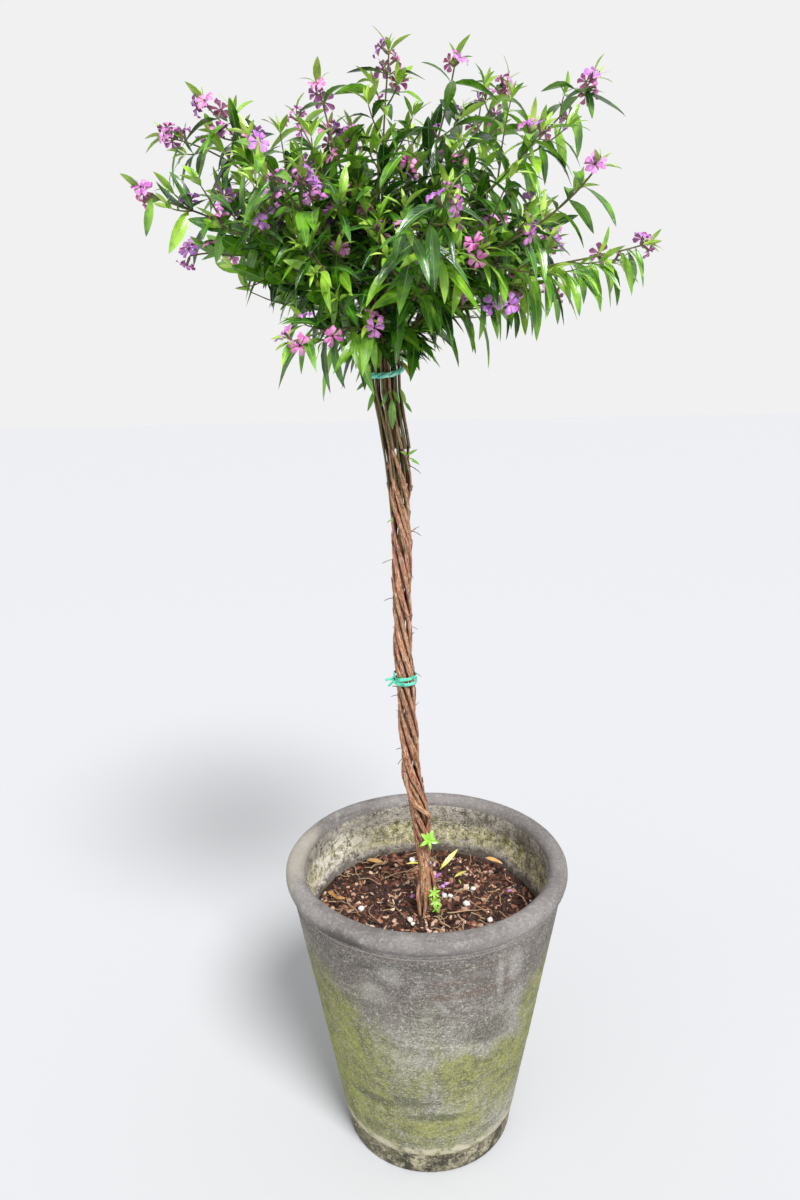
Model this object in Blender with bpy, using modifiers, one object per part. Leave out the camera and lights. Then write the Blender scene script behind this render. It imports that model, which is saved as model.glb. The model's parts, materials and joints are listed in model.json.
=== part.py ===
"""Potted mexican heather grown as a standard: a braid of thin stems in a long terracotta pot,
fanning out above a soft tie into a loose round head of narrow leaves and small mauve flowers.
Metres, +Z up. The origin is the centre of the pot's flat underside."""

import math
import random

import bmesh
import bpy
import numpy as np
from mathutils import Matrix, Vector

CLEAR = 0.0003  # gap left between pieces that touch
UP = np.array([0.0, 0.0, 1.0])

# Pot
POT_HEIGHT = 0.2264
RIM_RADIUS = 0.104  # outermost reach of the rolled rim
RIM_ROLL = 0.0071  # radius of the roll's section
BODY_TOP_RADIUS = 0.1003
FOOT_TOP_RADIUS = 0.0672
FOOT_HEIGHT = 0.0209
BASE_RADIUS = 0.0642
WALL = 0.0086
FLOOR = 0.012
ROUND_STEPS = 36

# Potting mix
SOIL_LEVEL = 0.182
SOIL_FLAT = 0.034  # radius that stays level round the stems
SOIL_DIP = 0.003  # how far it sinks towards the wall

# Braided stems
STEM_COUNT = 6  # round one that runs up the middle
STEM_TOP = 0.5255
STEM_RADIUS = 0.00175
BRAID_REACH = 0.0064  # from the braid's axis to the outside of its stems
BRAID_LOOSE = 0.0086  # the same at the top, where the braid loosens
BRAID_TURN = 0.13  # height of one full turn
STEM_POINTS = 24
FOOT_FLARE = 1.3
FLARE_HEIGHT = 0.030
FLARE_SPREAD = 0.0032  # how much wider the braid stands at its foot
# Height, then the braid's centre in x and y
LEAN = (
    (0.182, -0.0006, 0.004),
    (0.235, -0.0018, 0.003),
    (0.268, -0.0052, 0.0015),
    (0.294, -0.0104, 0.0006),
    (0.349, -0.0124, 0.0),
    (0.394, -0.0145, 0.0),
    (0.462, -0.0143, 0.0),
    (0.530, -0.0156, 0.0),
    (0.5755, -0.0228, 0.0),
)

# Ties round the stems
STEM_TIE_HEIGHT = 0.366
STEM_TIE_TURNS = 2
STEM_TIE_RISE = 0.0032  # from one turn to the next
TIE_CORD = 0.0009
NECK_TIE_CORD = 0.0010
NECK_TIE_TILT = -10

# Boughs: they leave the stem tops, pass the neck upright and fan out
NECK_HEIGHT = 0.5755
NECK_HOLD = 0.010  # upright for this much below and above the tie
OUTER_RING = 0.0090
INNER_RING = 0.0044
CORE_RING = 0.0017
BOUGH_RADIUS = 0.00105
BOUGH_TIP_RADIUS = 0.00095
STEM_TOP_SPREAD = 0.0014  # of the boughs that start from one stem top
STRAIGHT_END = 0.003  # upright length that makes an end's cut level

# Each tier: elevation in degrees at the neck and at the tip, share of the way before the foliage
TIERS = {
    "low": (55, -12, 0.28),
    "outer": (62, 14, 0.30),
    "mid": (76, 48, 0.36),
    "top": (86, 76, 0.34),
}
# For each tier, compass degrees, reach from the neck and rise above it, leaf tips included
SPREAD = {
    "low": (
        (14, 0.131, 0.043),
        (72, 0.118, 0.050),
        (138, 0.128, 0.066),
        (190, 0.130, 0.066),
        (236, 0.103, 0.014),
        (322, 0.106, 0.030),
    ),
    "outer": (
        (-5, 0.172, 0.074),
        (36, 0.160, 0.100),
        (104, 0.142, 0.104),
        (168, 0.150, 0.148),
        (204, 0.156, 0.100),
        (287, 0.132, 0.086),
    ),
    "mid": (
        (8, 0.141, 0.180),
        (44, 0.128, 0.196),
        (124, 0.112, 0.178),
        (178, 0.113, 0.166),
        (230, 0.112, 0.128),
        (326, 0.147, 0.111),
    ),
    "top": (
        (35, 0.061, 0.196),
        (150, 0.046, 0.182),
        (300, 0.016, 0.190),
    ),
}

# Growth rule of the foliage
SEED = 8449
NODE_STEP = 0.0150  # along a stem from one pair of leaves to the next
LEAF_LENGTH = 0.037  # larger than life, as the solids have fewer leaves
LEAF_WIDTH = 0.0125
LEAF_THICK = 0.0008
ROOT_SUNK = 0.0001  # past the axis of the twig
LEAF_OVERHANG = 0.013  # how far leaves reach past the end of a stem
SHOOT_RADIUS = 0.0010
TWIG_RADIUS = 0.0009
TWIG_SHARE = 0.42  # of the shoot still ahead
TWIG_SHORTEST = 0.016
TWIG_LONGEST = 0.050
LEAF_APART = 0.0030  # between the leaves of one mass, past their roots
MOST_LEAVES = 20  # in one mass
FLOWER_SHARE = 0.45  # of the tips
SPACE_MARGIN = 0.0008  # kept to each side of the border between two masses
LIMB_MARGIN = 0.0024  # kept from the axis of another limb
NECK_MARGIN = 0.0155  # kept free round the tie
FLOWER_RADIUS = 0.0072
FLOWER_ASIDE = 0.0016  # from the end of its stalk to its centre
PAIR_SPREAD = 58  # degrees between a shoot and its leaves
TWIG_PAIR_SPREAD = 52
SPREAD_LUCK = 9  # degrees either way
LEAF_DROOP = 0.34
LEAF_BELLY = 0.44  # share of a leaf's length at its widest
LEAF_ARCH = 0.035  # rise at its widest, as a share of its length
LEAF_TIP_DROP = 0.05
NECK_CLEAR_HEIGHT = 0.014  # above the tie
BOUGH_MARGIN = 0.0016  # kept by leaves from their own bough
TWIG_OUT = (0.72, 0.70)  # a twig's lead along its shoot and out from it
TWIG_BEND = (0.35, 0.25)  # added at its middle, along the shoot and upwards
RIM_POINTS = 8
RIM_FIRST = 185  # degrees round the rim's section, from the inside over the top
RIM_STEP = 32


def clear_scene():
    for obj in list(bpy.data.objects):
        bpy.data.objects.remove(obj, do_unlink=True)


def new_collection(name, hidden=False):
    made = bpy.data.collections.new(name)
    bpy.context.scene.collection.children.link(made)
    made.hide_render = hidden
    return made


def principled(name, colour, roughness, metallic=0.0):
    made = bpy.data.materials.new(name)
    made.use_nodes = True
    shader = made.node_tree.nodes["Principled BSDF"]
    shader.inputs["Base Color"].default_value = (*colour, 1.0)
    shader.inputs["Roughness"].default_value = roughness
    shader.inputs["Metallic"].default_value = metallic
    return made


def mesh_object(name, mesh, material, collection):
    made = bpy.data.objects.new(name, mesh)
    mesh.materials.append(material)
    collection.objects.link(made)
    return made


def turned(name, profile, material, collection):
    """A profile of (radius, height) points spun round the Z axis."""
    mesh = bpy.data.meshes.new(name)
    points = [(radius, 0.0, height) for radius, height in profile]
    mesh.from_pydata(points, [(i, i + 1) for i in range(len(points) - 1)], [])
    made = mesh_object(name, mesh, material, collection)
    screw = made.modifiers.new("Spin", "SCREW")
    screw.axis = "Z"
    screw.angle = math.tau
    screw.steps = ROUND_STEPS
    screw.render_steps = ROUND_STEPS
    screw.use_merge_vertices = True
    screw.merge_threshold = 0.0001
    return made


def tube(name, points, radii, resolution, material, collection):
    """A round limb along a run of points, made a mesh with its caps welded on."""
    curve = bpy.data.curves.new(name + "_path", "CURVE")
    curve.dimensions = "3D"
    curve.bevel_depth = 1.0
    curve.bevel_resolution = resolution
    curve.use_fill_caps = True
    spline = curve.splines.new("POLY")
    spline.points.add(len(points) - 1)
    for spot, point, radius in zip(spline.points, points, radii):
        spot.co = (*point, 1.0)
        spot.radius = radius
    guide = bpy.data.objects.new(name + "_path", curve)
    collection.objects.link(guide)
    bpy.context.view_layer.update()
    graph = bpy.context.evaluated_depsgraph_get()
    mesh = bpy.data.meshes.new_from_object(guide.evaluated_get(graph))
    mesh.name = name
    bm = bmesh.new()
    bm.from_mesh(mesh)
    bmesh.ops.remove_doubles(bm, verts=bm.verts, dist=0.00001)
    bmesh.ops.recalc_face_normals(bm, faces=bm.faces)
    bm.to_mesh(mesh)
    bm.free()
    mesh.shade_smooth()
    mesh.materials.clear()
    made = mesh_object(name, mesh, material, collection)
    made.matrix_world = guide.matrix_world
    bpy.data.objects.remove(guide, do_unlink=True)
    return made


def on_lean(height):
    """Centre of the braid at a height, smooth between the named stations."""
    heights = [station[0] for station in LEAN]
    k = int(np.clip(np.searchsorted(heights, height) - 1, 0, len(LEAN) - 2))
    low, high = LEAN[k], LEAN[k + 1]
    t = float(np.clip((height - low[0]) / (high[0] - low[0]), 0.0, 1.0))
    t = t * t * (3 - 2 * t) * 0.5 + t * 0.5
    return np.array([low[1] + (high[1] - low[1]) * t, low[2] + (high[2] - low[2]) * t, height])


def compass(degrees):
    angle = math.radians(degrees)
    return np.array([math.cos(angle), math.sin(angle), 0.0])


def ease(value, low, high):
    t = min(max((value - low) / (high - low), 0.0), 1.0)
    return t * t * (3 - 2 * t)


def inner_wall(height):
    """Inside radius of the pot at a height."""
    share = (height - FOOT_HEIGHT) / (POT_HEIGHT - 2 * RIM_ROLL - FOOT_HEIGHT)
    return FOOT_TOP_RADIUS + (BODY_TOP_RADIUS - FOOT_TOP_RADIUS) * share - WALL


def make_pot(collection):
    clay = principled("terracotta", (0.36, 0.33, 0.29), 0.9)
    roll_height = POT_HEIGHT - RIM_ROLL
    roll_centre = RIM_RADIUS - RIM_ROLL
    roll_foot = roll_height - RIM_ROLL
    profile = [(0.0, FLOOR), (inner_wall(FLOOR), FLOOR), (inner_wall(roll_foot), roll_foot)]
    for step in range(RIM_POINTS):
        angle = math.radians(RIM_FIRST - step * RIM_STEP)
        radius = roll_centre + RIM_ROLL * math.cos(angle)
        profile.append((radius, roll_height + RIM_ROLL * math.sin(angle)))
    profile.append((BODY_TOP_RADIUS, roll_foot))
    profile.append((FOOT_TOP_RADIUS, FOOT_HEIGHT))
    profile.append((BASE_RADIUS, 0.003))
    profile.append((BASE_RADIUS - 0.002, 0.0))
    profile.append((0.0, 0.0))
    made = turned("pot", profile, clay, collection)
    return made


def make_soil(collection):
    mix = principled("potting_mix", (0.07, 0.04, 0.028), 0.95)
    edge = SOIL_LEVEL - SOIL_DIP
    floor = FLOOR + CLEAR
    profile = [
        (0.0, SOIL_LEVEL),
        (SOIL_FLAT, SOIL_LEVEL),
        (0.068, SOIL_LEVEL - SOIL_DIP * 0.6),
        (inner_wall(edge) - 2 * CLEAR, edge),
        (inner_wall(floor) - 2 * CLEAR, floor),
        (0.0, floor),
    ]
    return turned("soil", profile, mix, collection)


def braid_reach(height):
    """From the braid's axis to the outside of its stems."""
    loose = ease(height, STEM_TOP - 0.05, STEM_TOP)
    return BRAID_REACH + (BRAID_LOOSE - BRAID_REACH) * loose


def stem_radius(height, own):
    flare = 1.0 - ease(height, SOIL_LEVEL, SOIL_LEVEL + FLARE_HEIGHT)
    taper = 1.06 - 0.12 * ease(height, SOIL_LEVEL, STEM_TOP)
    return STEM_RADIUS * own * taper * (1.0 + (FOOT_FLARE - 1.0) * flare)


def stem_axis(index, height, own):
    """Centre of one braided stem; the last one runs up the middle."""
    if index == STEM_COUNT:
        return on_lean(height)
    flare = 1.0 - ease(height, SOIL_LEVEL, SOIL_LEVEL + FLARE_HEIGHT)
    ring = braid_reach(height) + FLARE_SPREAD * flare - STEM_RADIUS * own
    turn = 360 * index / STEM_COUNT - 360 * (height - STEM_TOP) / BRAID_TURN
    return on_lean(height) + ring * compass(turn)


def stem_girth(index):
    return (1.0, 0.9, 1.06, 0.94, 1.02, 0.88, 0.95)[index]


def make_stems(collection):
    bark = principled("bark", (0.27, 0.16, 0.10), 0.85)
    foot = SOIL_LEVEL + CLEAR
    heights = np.linspace(foot + STRAIGHT_END, STEM_TOP - STRAIGHT_END, STEM_POINTS)
    for index in range(STEM_COUNT + 1):
        own = stem_girth(index)
        points = [stem_axis(index, height, own) for height in heights]
        points = [points[0] - UP * STRAIGHT_END] + points + [points[-1] + UP * STRAIGHT_END]
        radii = [stem_radius(point[2], own) for point in points]
        tube(f"stem_{index + 1}", points, radii, 1, bark, collection)


def make_stem_tie(collection):
    soft = principled("soft_tie", (0.05, 0.42, 0.33), 0.5)
    radius = BRAID_REACH + CLEAR * 1.5 + TIE_CORD
    steps = 11 * STEM_TIE_TURNS
    points = []
    for step in range(steps + 1):
        share = step / steps - 0.5
        lift = UP * share * STEM_TIE_TURNS * STEM_TIE_RISE
        spot = on_lean(STEM_TIE_HEIGHT + lift[2])
        points.append(spot + radius * compass(200 + 360 * STEM_TIE_TURNS * share))
    tube("stem_tie", points, [TIE_CORD] * len(points), 1, soft, collection)
    return soft


def make_neck_tie(soft, collection):
    bpy.ops.mesh.primitive_torus_add(
        major_segments=20,
        minor_segments=6,
        major_radius=OUTER_RING + BOUGH_RADIUS + CLEAR * 2 + NECK_TIE_CORD,
        minor_radius=NECK_TIE_CORD,
        location=tuple(on_lean(NECK_HEIGHT)),
        rotation=(0.0, math.radians(NECK_TIE_TILT), 0.0),
    )
    made = bpy.context.object
    made.name = "neck_tie"
    made.data.name = "neck_tie"
    made.data.shade_smooth()
    made.data.materials.append(soft)
    for holder in list(made.users_collection):
        holder.objects.unlink(made)
    collection.objects.link(made)


def bezier(a, b, c, d, count):
    t = np.linspace(0.0, 1.0, count)[:, None]
    return a * (1 - t) ** 3 + 3 * b * t * (1 - t) ** 2 + 3 * c * t * t * (1 - t) + d * t**3


def slot_of(tier, index):
    """Compass degrees and ring radius of a bough at the neck."""
    if tier == "outer":
        return 60 * index - 15, OUTER_RING
    if tier == "low":
        return 60 * index + 15, OUTER_RING
    if tier == "mid":
        return 60 * index, INNER_RING
    return 30 + 120 * index, CORE_RING


def start_of(tier, index):
    """Where a bough stands on its stem's top."""
    stem = STEM_COUNT if tier == "top" else index
    centre = stem_axis(stem, STEM_TOP, stem_girth(stem))
    if tier == "top":
        return centre + CORE_RING * compass(slot_of(tier, index)[0])
    turn = {"outer": -60, "low": 60, "mid": 180}[tier]
    return centre + STEM_TOP_SPREAD * compass(60 * index + turn)


def limb_path(tier, index):
    """Start, upright stretch at the neck and the sweep out to the tip, evenly spaced."""
    azimuth, reach, rise = SPREAD[tier][index]
    start_lift, end_lift, share = TIERS[tier]
    slot, ring = slot_of(tier, index)
    neck = on_lean(NECK_HEIGHT) + ring * compass(slot)
    foot = start_of(tier, index) + UP * CLEAR
    low = neck - UP * NECK_HOLD
    high = neck + UP * NECK_HOLD
    lead = compass(azimuth)
    leave = compass(slot) * math.cos(math.radians(start_lift)) + UP * math.sin(math.radians(start_lift))
    arrive = lead * math.cos(math.radians(end_lift)) + UP * math.sin(math.radians(end_lift))
    tip = on_lean(NECK_HEIGHT) + lead * reach + UP * rise - arrive * LEAF_OVERHANG
    span = float(np.linalg.norm(tip - high))
    sweep = bezier(high, high + leave * span * 0.36, tip - arrive * span * 0.40, tip, 25)
    return np.array([foot, foot + UP * STRAIGHT_END, foot * 0.4 + low * 0.6, low]), sweep, share


def along(points, distance):
    """Point and direction at a distance along a run of points."""
    steps = np.linalg.norm(np.diff(points, axis=0), axis=1)
    marks = np.concatenate([[0.0], np.cumsum(steps)])
    distance = float(np.clip(distance, 0.0, marks[-1] - 1e-9))
    k = int(np.searchsorted(marks, distance, side="right") - 1)
    t = (distance - marks[k]) / steps[k]
    return points[k] * (1 - t) + points[k + 1] * t, (points[k + 1] - points[k]) / steps[k]


def run_length(points):
    return float(np.linalg.norm(np.diff(points, axis=0), axis=1).sum())


def make_limbs():
    """All limbs with their bough and shoot lines."""
    limbs = []
    for tier in SPREAD:
        for index in range(len(SPREAD[tier])):
            below, sweep, share = limb_path(tier, index)
            length = run_length(sweep)
            split = length * share
            bough = [along(sweep, split * k / 4)[0] for k in range(5)]
            first = split + CLEAR
            count = 7
            shoot = [along(sweep, first + (length - first) * k / (count - 1))[0] for k in range(count)]
            limbs.append(
                {
                    "name": f"{tier}_{index + 1}",
                    "tier": tier,
                    "bough": np.array(list(below) + bough),
                    "shoot": np.array(shoot),
                    "line": np.array(list(below) + [along(sweep, length * k / 12)[0] for k in range(13)]),
                }
            )
    return limbs


def make_boughs(limbs, collection):
    bark = principled("young_bark", (0.30, 0.26, 0.13), 0.8)
    for limb in limbs:
        count = len(limb["bough"])
        radii = np.linspace(BOUGH_RADIUS, BOUGH_TIP_RADIUS, count)
        tube("bough_" + limb["name"], limb["bough"], radii, 0, bark, collection)


def distance_to(points, line):
    """Distance from each point to a run of straight pieces."""
    a = line[:-1][None]
    d = (line[1:] - line[:-1])[None]
    offset = points[:, None] - a
    t = np.clip((offset * d).sum(2) / (d * d).sum(2), 0.0, 1.0)
    return np.linalg.norm(offset - d * t[..., None], axis=2).min(axis=1)


def in_space(points, own, limbs):
    """True where every point lies in the limb's own space and clear of all limbs."""
    points = np.asarray(points)
    mine = distance_to(points, limbs[own]["line"])
    if distance_to(points, limbs[own]["bough"]).min() < BOUGH_MARGIN:
        return False
    neck = on_lean(NECK_HEIGHT)
    aside = np.hypot(points[:, 0] - neck[0], points[:, 1] - neck[1])
    if ((points[:, 2] < NECK_HEIGHT + NECK_CLEAR_HEIGHT) & (aside < NECK_MARGIN)).any():
        return False
    for k, limb in enumerate(limbs):
        if k == own:
            continue
        other = distance_to(points, limb["line"])
        if (other < mine + SPACE_MARGIN).any() or other.min() < LIMB_MARGIN:
            return False
    return True


def unit(vector):
    return vector / max(float(np.linalg.norm(vector)), 1e-9)


def side_frame(direction, turn):
    """A direction square to the given one, at a turn round it measured from level."""
    level = np.cross(direction, UP)
    level = unit(level) if np.linalg.norm(level) > 0.05 else np.array([1.0, 0.0, 0.0])
    upper = unit(np.cross(level, direction))
    return level * math.cos(turn) + upper * math.sin(turn)


def leaf_points(root, direction, face, length):
    """Corners of one leaf: root, tip, both edges, upper and lower ridge."""
    across = unit(np.cross(direction, face))
    normal = unit(np.cross(across, direction))
    width = LEAF_WIDTH * length / LEAF_LENGTH
    middle = root + direction * length * LEAF_BELLY + normal * length * LEAF_ARCH
    tip = root + direction * length - normal * length * LEAF_TIP_DROP
    aside = across * width / 2
    half = normal * LEAF_THICK / 2
    return [root, tip, middle + aside, middle - aside, middle + half, middle - half]


def leaf_mesh(name, corners):
    """A leaf from a four by two sphere, its six corners moved to their places."""
    bm = bmesh.new()
    bmesh.ops.create_uvsphere(bm, u_segments=4, v_segments=2, radius=1.0)
    for vert in bm.verts:
        x, y, z = vert.co
        if abs(z) > 0.5:
            spot = corners[4] if z > 0 else corners[5]
        elif abs(x) > abs(y):
            spot = corners[1] if x > 0 else corners[0]
        else:
            spot = corners[2] if y > 0 else corners[3]
        vert.co = Vector(spot)
    bmesh.ops.recalc_face_normals(bm, faces=bm.faces)
    return finish_mesh(bm, name)


def flower_centre(stalk_end, direction):
    return stalk_end + side_frame(direction, 0.5) * FLOWER_ASIDE


def flower_mesh(name, stalk_end, direction):
    """Six petals as a star from a flat sphere, seated beside its centre on the stalk's end."""
    bm = bmesh.new()
    bmesh.ops.create_uvsphere(bm, u_segments=12, v_segments=2, radius=1.0)
    for vert in bm.verts:
        if abs(vert.co.z) > 0.5:
            vert.co.z *= LEAF_THICK
            continue
        step = round(math.degrees(math.atan2(vert.co.y, vert.co.x)) / 30)
        reach = FLOWER_RADIUS if step % 2 == 0 else FLOWER_RADIUS * 0.45
        vert.co = Vector((vert.co.x * reach, vert.co.y * reach, 0.0))
    turn = Vector(direction).to_track_quat("Z", "Y").to_matrix().to_4x4()
    place = Matrix.Translation(Vector(flower_centre(stalk_end, direction))) @ turn
    bmesh.ops.transform(bm, matrix=place, verts=bm.verts)
    bmesh.ops.recalc_face_normals(bm, faces=bm.faces)
    return finish_mesh(bm, name)


def finish_mesh(bm, name):
    if bm.calc_volume(signed=True) < 0:
        bmesh.ops.reverse_faces(bm, faces=bm.faces)
    mesh = bpy.data.meshes.new(name)
    bm.to_mesh(mesh)
    bm.free()
    return mesh


def twig_mesh(name, points, radii):
    """A three-sided twig lofted through its points."""
    bm = bmesh.new()
    rings = []
    aside = compass(20) if abs(unit(points[-1] - points[0])[2]) > 0.8 else UP
    for k, point in enumerate(points):
        ahead = unit(points[min(k + 1, len(points) - 1)] - points[max(k - 1, 0)])
        level = unit(np.cross(ahead, aside))
        upper = np.cross(level, ahead)
        ring = []
        for corner in range(3):
            angle = math.tau * corner / 3
            out = level * math.cos(angle) + upper * math.sin(angle)
            ring.append(bm.verts.new(Vector(point + radii[k] * out)))
        rings.append(ring)
    for low, high in zip(rings, rings[1:]):
        for s in range(3):
            bm.faces.new((low[s], low[(s + 1) % 3], high[(s + 1) % 3], high[s]))
    bm.faces.new(rings[0][::-1])
    bm.faces.new(rings[-1])
    bmesh.ops.recalc_face_normals(bm, faces=bm.faces)
    bmesh.ops.triangulate(bm, faces=bm.faces)
    return finish_mesh(bm, name)


def leaf_marks(corners):
    """Points spread over a leaf past its root, for keeping leaves apart."""
    root, tip, right, left = corners[:4]
    middle = (right + left) / 2
    return np.array(
        [
            root * 0.4 + middle * 0.6,
            middle,
            right,
            left,
            middle * 0.5 + tip * 0.5,
            right * 0.5 + tip * 0.5,
            left * 0.5 + tip * 0.5,
            tip,
        ]
    )


def near_marks(points, marks):
    """True where a point comes too near the leaves already grown."""
    if not marks:
        return False
    gaps = np.linalg.norm(np.array(points)[:, None] - np.concatenate(marks)[None], axis=2)
    return bool(gaps.min() < LEAF_APART)


def leaf_pair(luck, point, direction, turn, length, spread, own, limbs, marks):
    """The leaves of one pair that stay in the limb's space."""
    grown = []
    for side in (0.0, math.pi):
        out = side_frame(direction, turn + side)
        lift = math.radians(spread + luck.uniform(-SPREAD_LUCK, SPREAD_LUCK))
        droop = UP * luck.uniform(0.0, LEAF_DROOP)
        lead = unit(direction * math.cos(lift) + out * math.sin(lift) - droop)
        sway = np.array([luck.uniform(-0.5, 0.5), luck.uniform(-0.5, 0.5), 0.0])
        face = unit(UP + 0.7 * direction + sway)
        size = length * luck.uniform(0.82, 1.12)
        for _ in range(4):
            corners = leaf_points(point - lead * ROOT_SUNK, lead, face, size)
            tests = corners[1:] + [(corners[1] + corners[2]) / 2, (corners[1] + corners[3]) / 2]
            if not near_marks(leaf_marks(corners), marks) and in_space(tests, own, limbs):
                grown.append(corners)
                marks.append(leaf_marks(corners))
                break
            size *= 0.84
            sway = [luck.uniform(-0.35, 0.35), luck.uniform(-0.35, 0.35), luck.uniform(-0.25, 0.25)]
            lead = unit(lead + np.array(sway))
    return grown


def grow(own, limbs):
    """Twigs, leaves and flowers of one mass by the seeded rule."""
    limb = limbs[own]
    luck = random.Random(SEED + 17 * own)
    shoot = limb["shoot"]
    length = run_length(shoot)
    twigs = []
    leaves = []
    flowers = []
    marks = []
    count = int(length / NODE_STEP)
    turn = luck.uniform(0, math.pi)
    finish_tip(luck, shoot, own, limbs, leaves, flowers, marks)
    for node in range(1, count + 1):
        place = length * node / (count + 0.6)
        point, direction = along(shoot, place)
        ahead = length - place
        turn += math.pi / 2 + luck.uniform(-0.25, 0.25)
        if node % 2 == 1 and ahead > TWIG_SHORTEST * 1.6:
            for side in (0.0, math.pi):
                out = side_frame(direction, turn + side)
                reach = max(ahead * TWIG_SHARE * luck.uniform(0.8, 1.25), TWIG_SHORTEST)
                reach = min(reach, TWIG_LONGEST)
                lead = unit(direction * TWIG_OUT[0] + out * TWIG_OUT[1])
                bend = unit(lead + TWIG_BEND[0] * direction + TWIG_BEND[1] * UP)
                for _ in range(3):
                    knee = point + lead * reach * 0.5
                    path = np.array([point, knee, knee + bend * reach * 0.5])
                    if in_space(path[1:], own, limbs):
                        twigs.append(path)
                        grow_twig(luck, path, own, limbs, leaves, flowers, marks)
                        break
                    reach *= 0.75
        fade = 1.0 if ahead > 0.02 else 0.62
        size = LEAF_LENGTH * fade
        leaves.extend(leaf_pair(luck, point, direction, turn + 0.9, size, PAIR_SPREAD, own, limbs, marks))
    return twigs, leaves, flowers


def grow_twig(luck, path, own, limbs, leaves, flowers, marks):
    reach = run_length(path)
    pairs = max(1, int(reach / (NODE_STEP * 1.25)))
    turn = luck.uniform(0, math.pi)
    finish_tip(luck, path, own, limbs, leaves, flowers, marks)
    for pair in range(1, pairs + 1):
        point, direction = along(path, reach * pair / (pairs + 0.6))
        turn += math.pi / 2
        size = LEAF_LENGTH * (0.95 if pair < pairs else 0.72)
        leaves.extend(leaf_pair(luck, point, direction, turn, size, TWIG_PAIR_SPREAD, own, limbs, marks))


def finish_tip(luck, path, own, limbs, leaves, flowers, marks):
    """A flower on the end of a shoot or twig, or one small leaf in line with it."""
    point, direction = along(path, run_length(path))
    facing = unit(direction + 0.2 * UP)
    centre = flower_centre(point, facing)
    rim = [centre + FLOWER_RADIUS * side_frame(facing, math.tau * k / 6) for k in range(6)]
    wanted = luck.random() < FLOWER_SHARE
    if wanted and in_space([centre] + rim, own, limbs) and not near_marks([centre] + rim, marks):
        flowers.append((point, facing))
        marks.append(np.array([centre] + rim))
        return
    root = point - direction * 0.0012
    corners = leaf_points(root, unit(direction - 0.1 * UP), UP + 0.3 * direction, LEAF_LENGTH * 0.6)
    if in_space(corners[1:], own, limbs):
        leaves.append(corners)
        marks.append(leaf_marks(corners)[2:])


def thinned(items, most, luck):
    """At most so many of them, taken evenly over the whole list."""
    if len(items) <= most:
        return items
    kept = sorted(luck.sample(range(len(items)), most))
    return [items[k] for k in kept]


def outer_shell(mesh):
    """Keeps the largest closed body, which fills sealed hollows and drops loose scraps."""
    bm = bmesh.new()
    bm.from_mesh(mesh)
    left = set(bm.faces)
    best = []
    while left:
        start = left.pop()
        found = [start]
        stack = [start]
        while stack:
            for edge in stack.pop().edges:
                if len(edge.link_faces) != 2:
                    continue
                for face in edge.link_faces:
                    if face in left:
                        left.remove(face)
                        found.append(face)
                        stack.append(face)
        if len(found) > len(best):
            best = found
    keep = set(best)
    bmesh.ops.delete(bm, geom=[face for face in bm.faces if face not in keep], context="FACES")
    bm.to_mesh(mesh)
    bm.free()


def fuse(name, meshes, material, collection):
    """One union of the first mesh with all the others."""
    pieces = new_collection(name + "_pieces", hidden=True)
    base = mesh_object(name, meshes[0], material, collection)
    for k, mesh in enumerate(meshes[1:]):
        piece = bpy.data.objects.new(f"{name}_piece_{k}", mesh)
        piece.hide_render = True
        piece.display_type = "WIRE"
        pieces.objects.link(piece)
    union = base.modifiers.new("Join", "BOOLEAN")
    union.operation = "UNION"
    union.operand_type = "COLLECTION"
    union.collection = pieces
    union.solver = "MANIFOLD"
    bpy.context.view_layer.update()
    graph = bpy.context.evaluated_depsgraph_get()
    joined = bpy.data.meshes.new_from_object(base.evaluated_get(graph))
    base.modifiers.remove(union)
    for piece in list(pieces.objects):
        bpy.data.objects.remove(piece, do_unlink=True)
    bpy.data.collections.remove(pieces)
    outer_shell(joined)
    joined.name = name
    joined.materials.clear()
    joined.materials.append(material)
    base.data = joined
    return base


def make_foliage(limbs, collection):
    green = principled("foliage", (0.10, 0.26, 0.04), 0.55)
    total = 0
    for own, limb in enumerate(limbs):
        luck = random.Random(SEED + own)
        twigs, leaves, flowers = grow(own, limbs)
        grown = len(leaves)
        leaves = thinned(leaves, MOST_LEAVES, luck)
        radii = np.linspace(SHOOT_RADIUS, SHOOT_RADIUS * 0.7, len(limb["shoot"]))
        meshes = [twig_mesh("shoot", limb["shoot"], radii)]
        for path in twigs:
            meshes.append(twig_mesh("twig", path, [TWIG_RADIUS * 0.5, TWIG_RADIUS, TWIG_RADIUS * 0.6]))
        for corners in leaves:
            meshes.append(leaf_mesh("leaf", corners))
        for root, direction in flowers:
            meshes.append(flower_mesh("flower", root, direction))
        made = fuse("foliage_" + limb["name"], meshes, green, collection)
        faces = sum(len(face.vertices) - 2 for face in made.data.polygons)
        total += faces
        print(made.name, len(twigs), "twigs", grown, "grown", len(leaves), "leaves", faces, "triangles")
    print("foliage triangles", total)


def main():
    clear_scene()
    parts = new_collection("potted_mexican_heather")
    make_pot(parts)
    make_soil(parts)
    make_stems(parts)
    soft = make_stem_tie(parts)
    make_neck_tie(soft, parts)
    limbs = make_limbs()
    make_boughs(limbs, parts)
    make_foliage(limbs, parts)


main()
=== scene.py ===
import json
import math
import random

import bmesh
import bpy
import numpy as np
from mathutils import Matrix, Vector, noise

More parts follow.
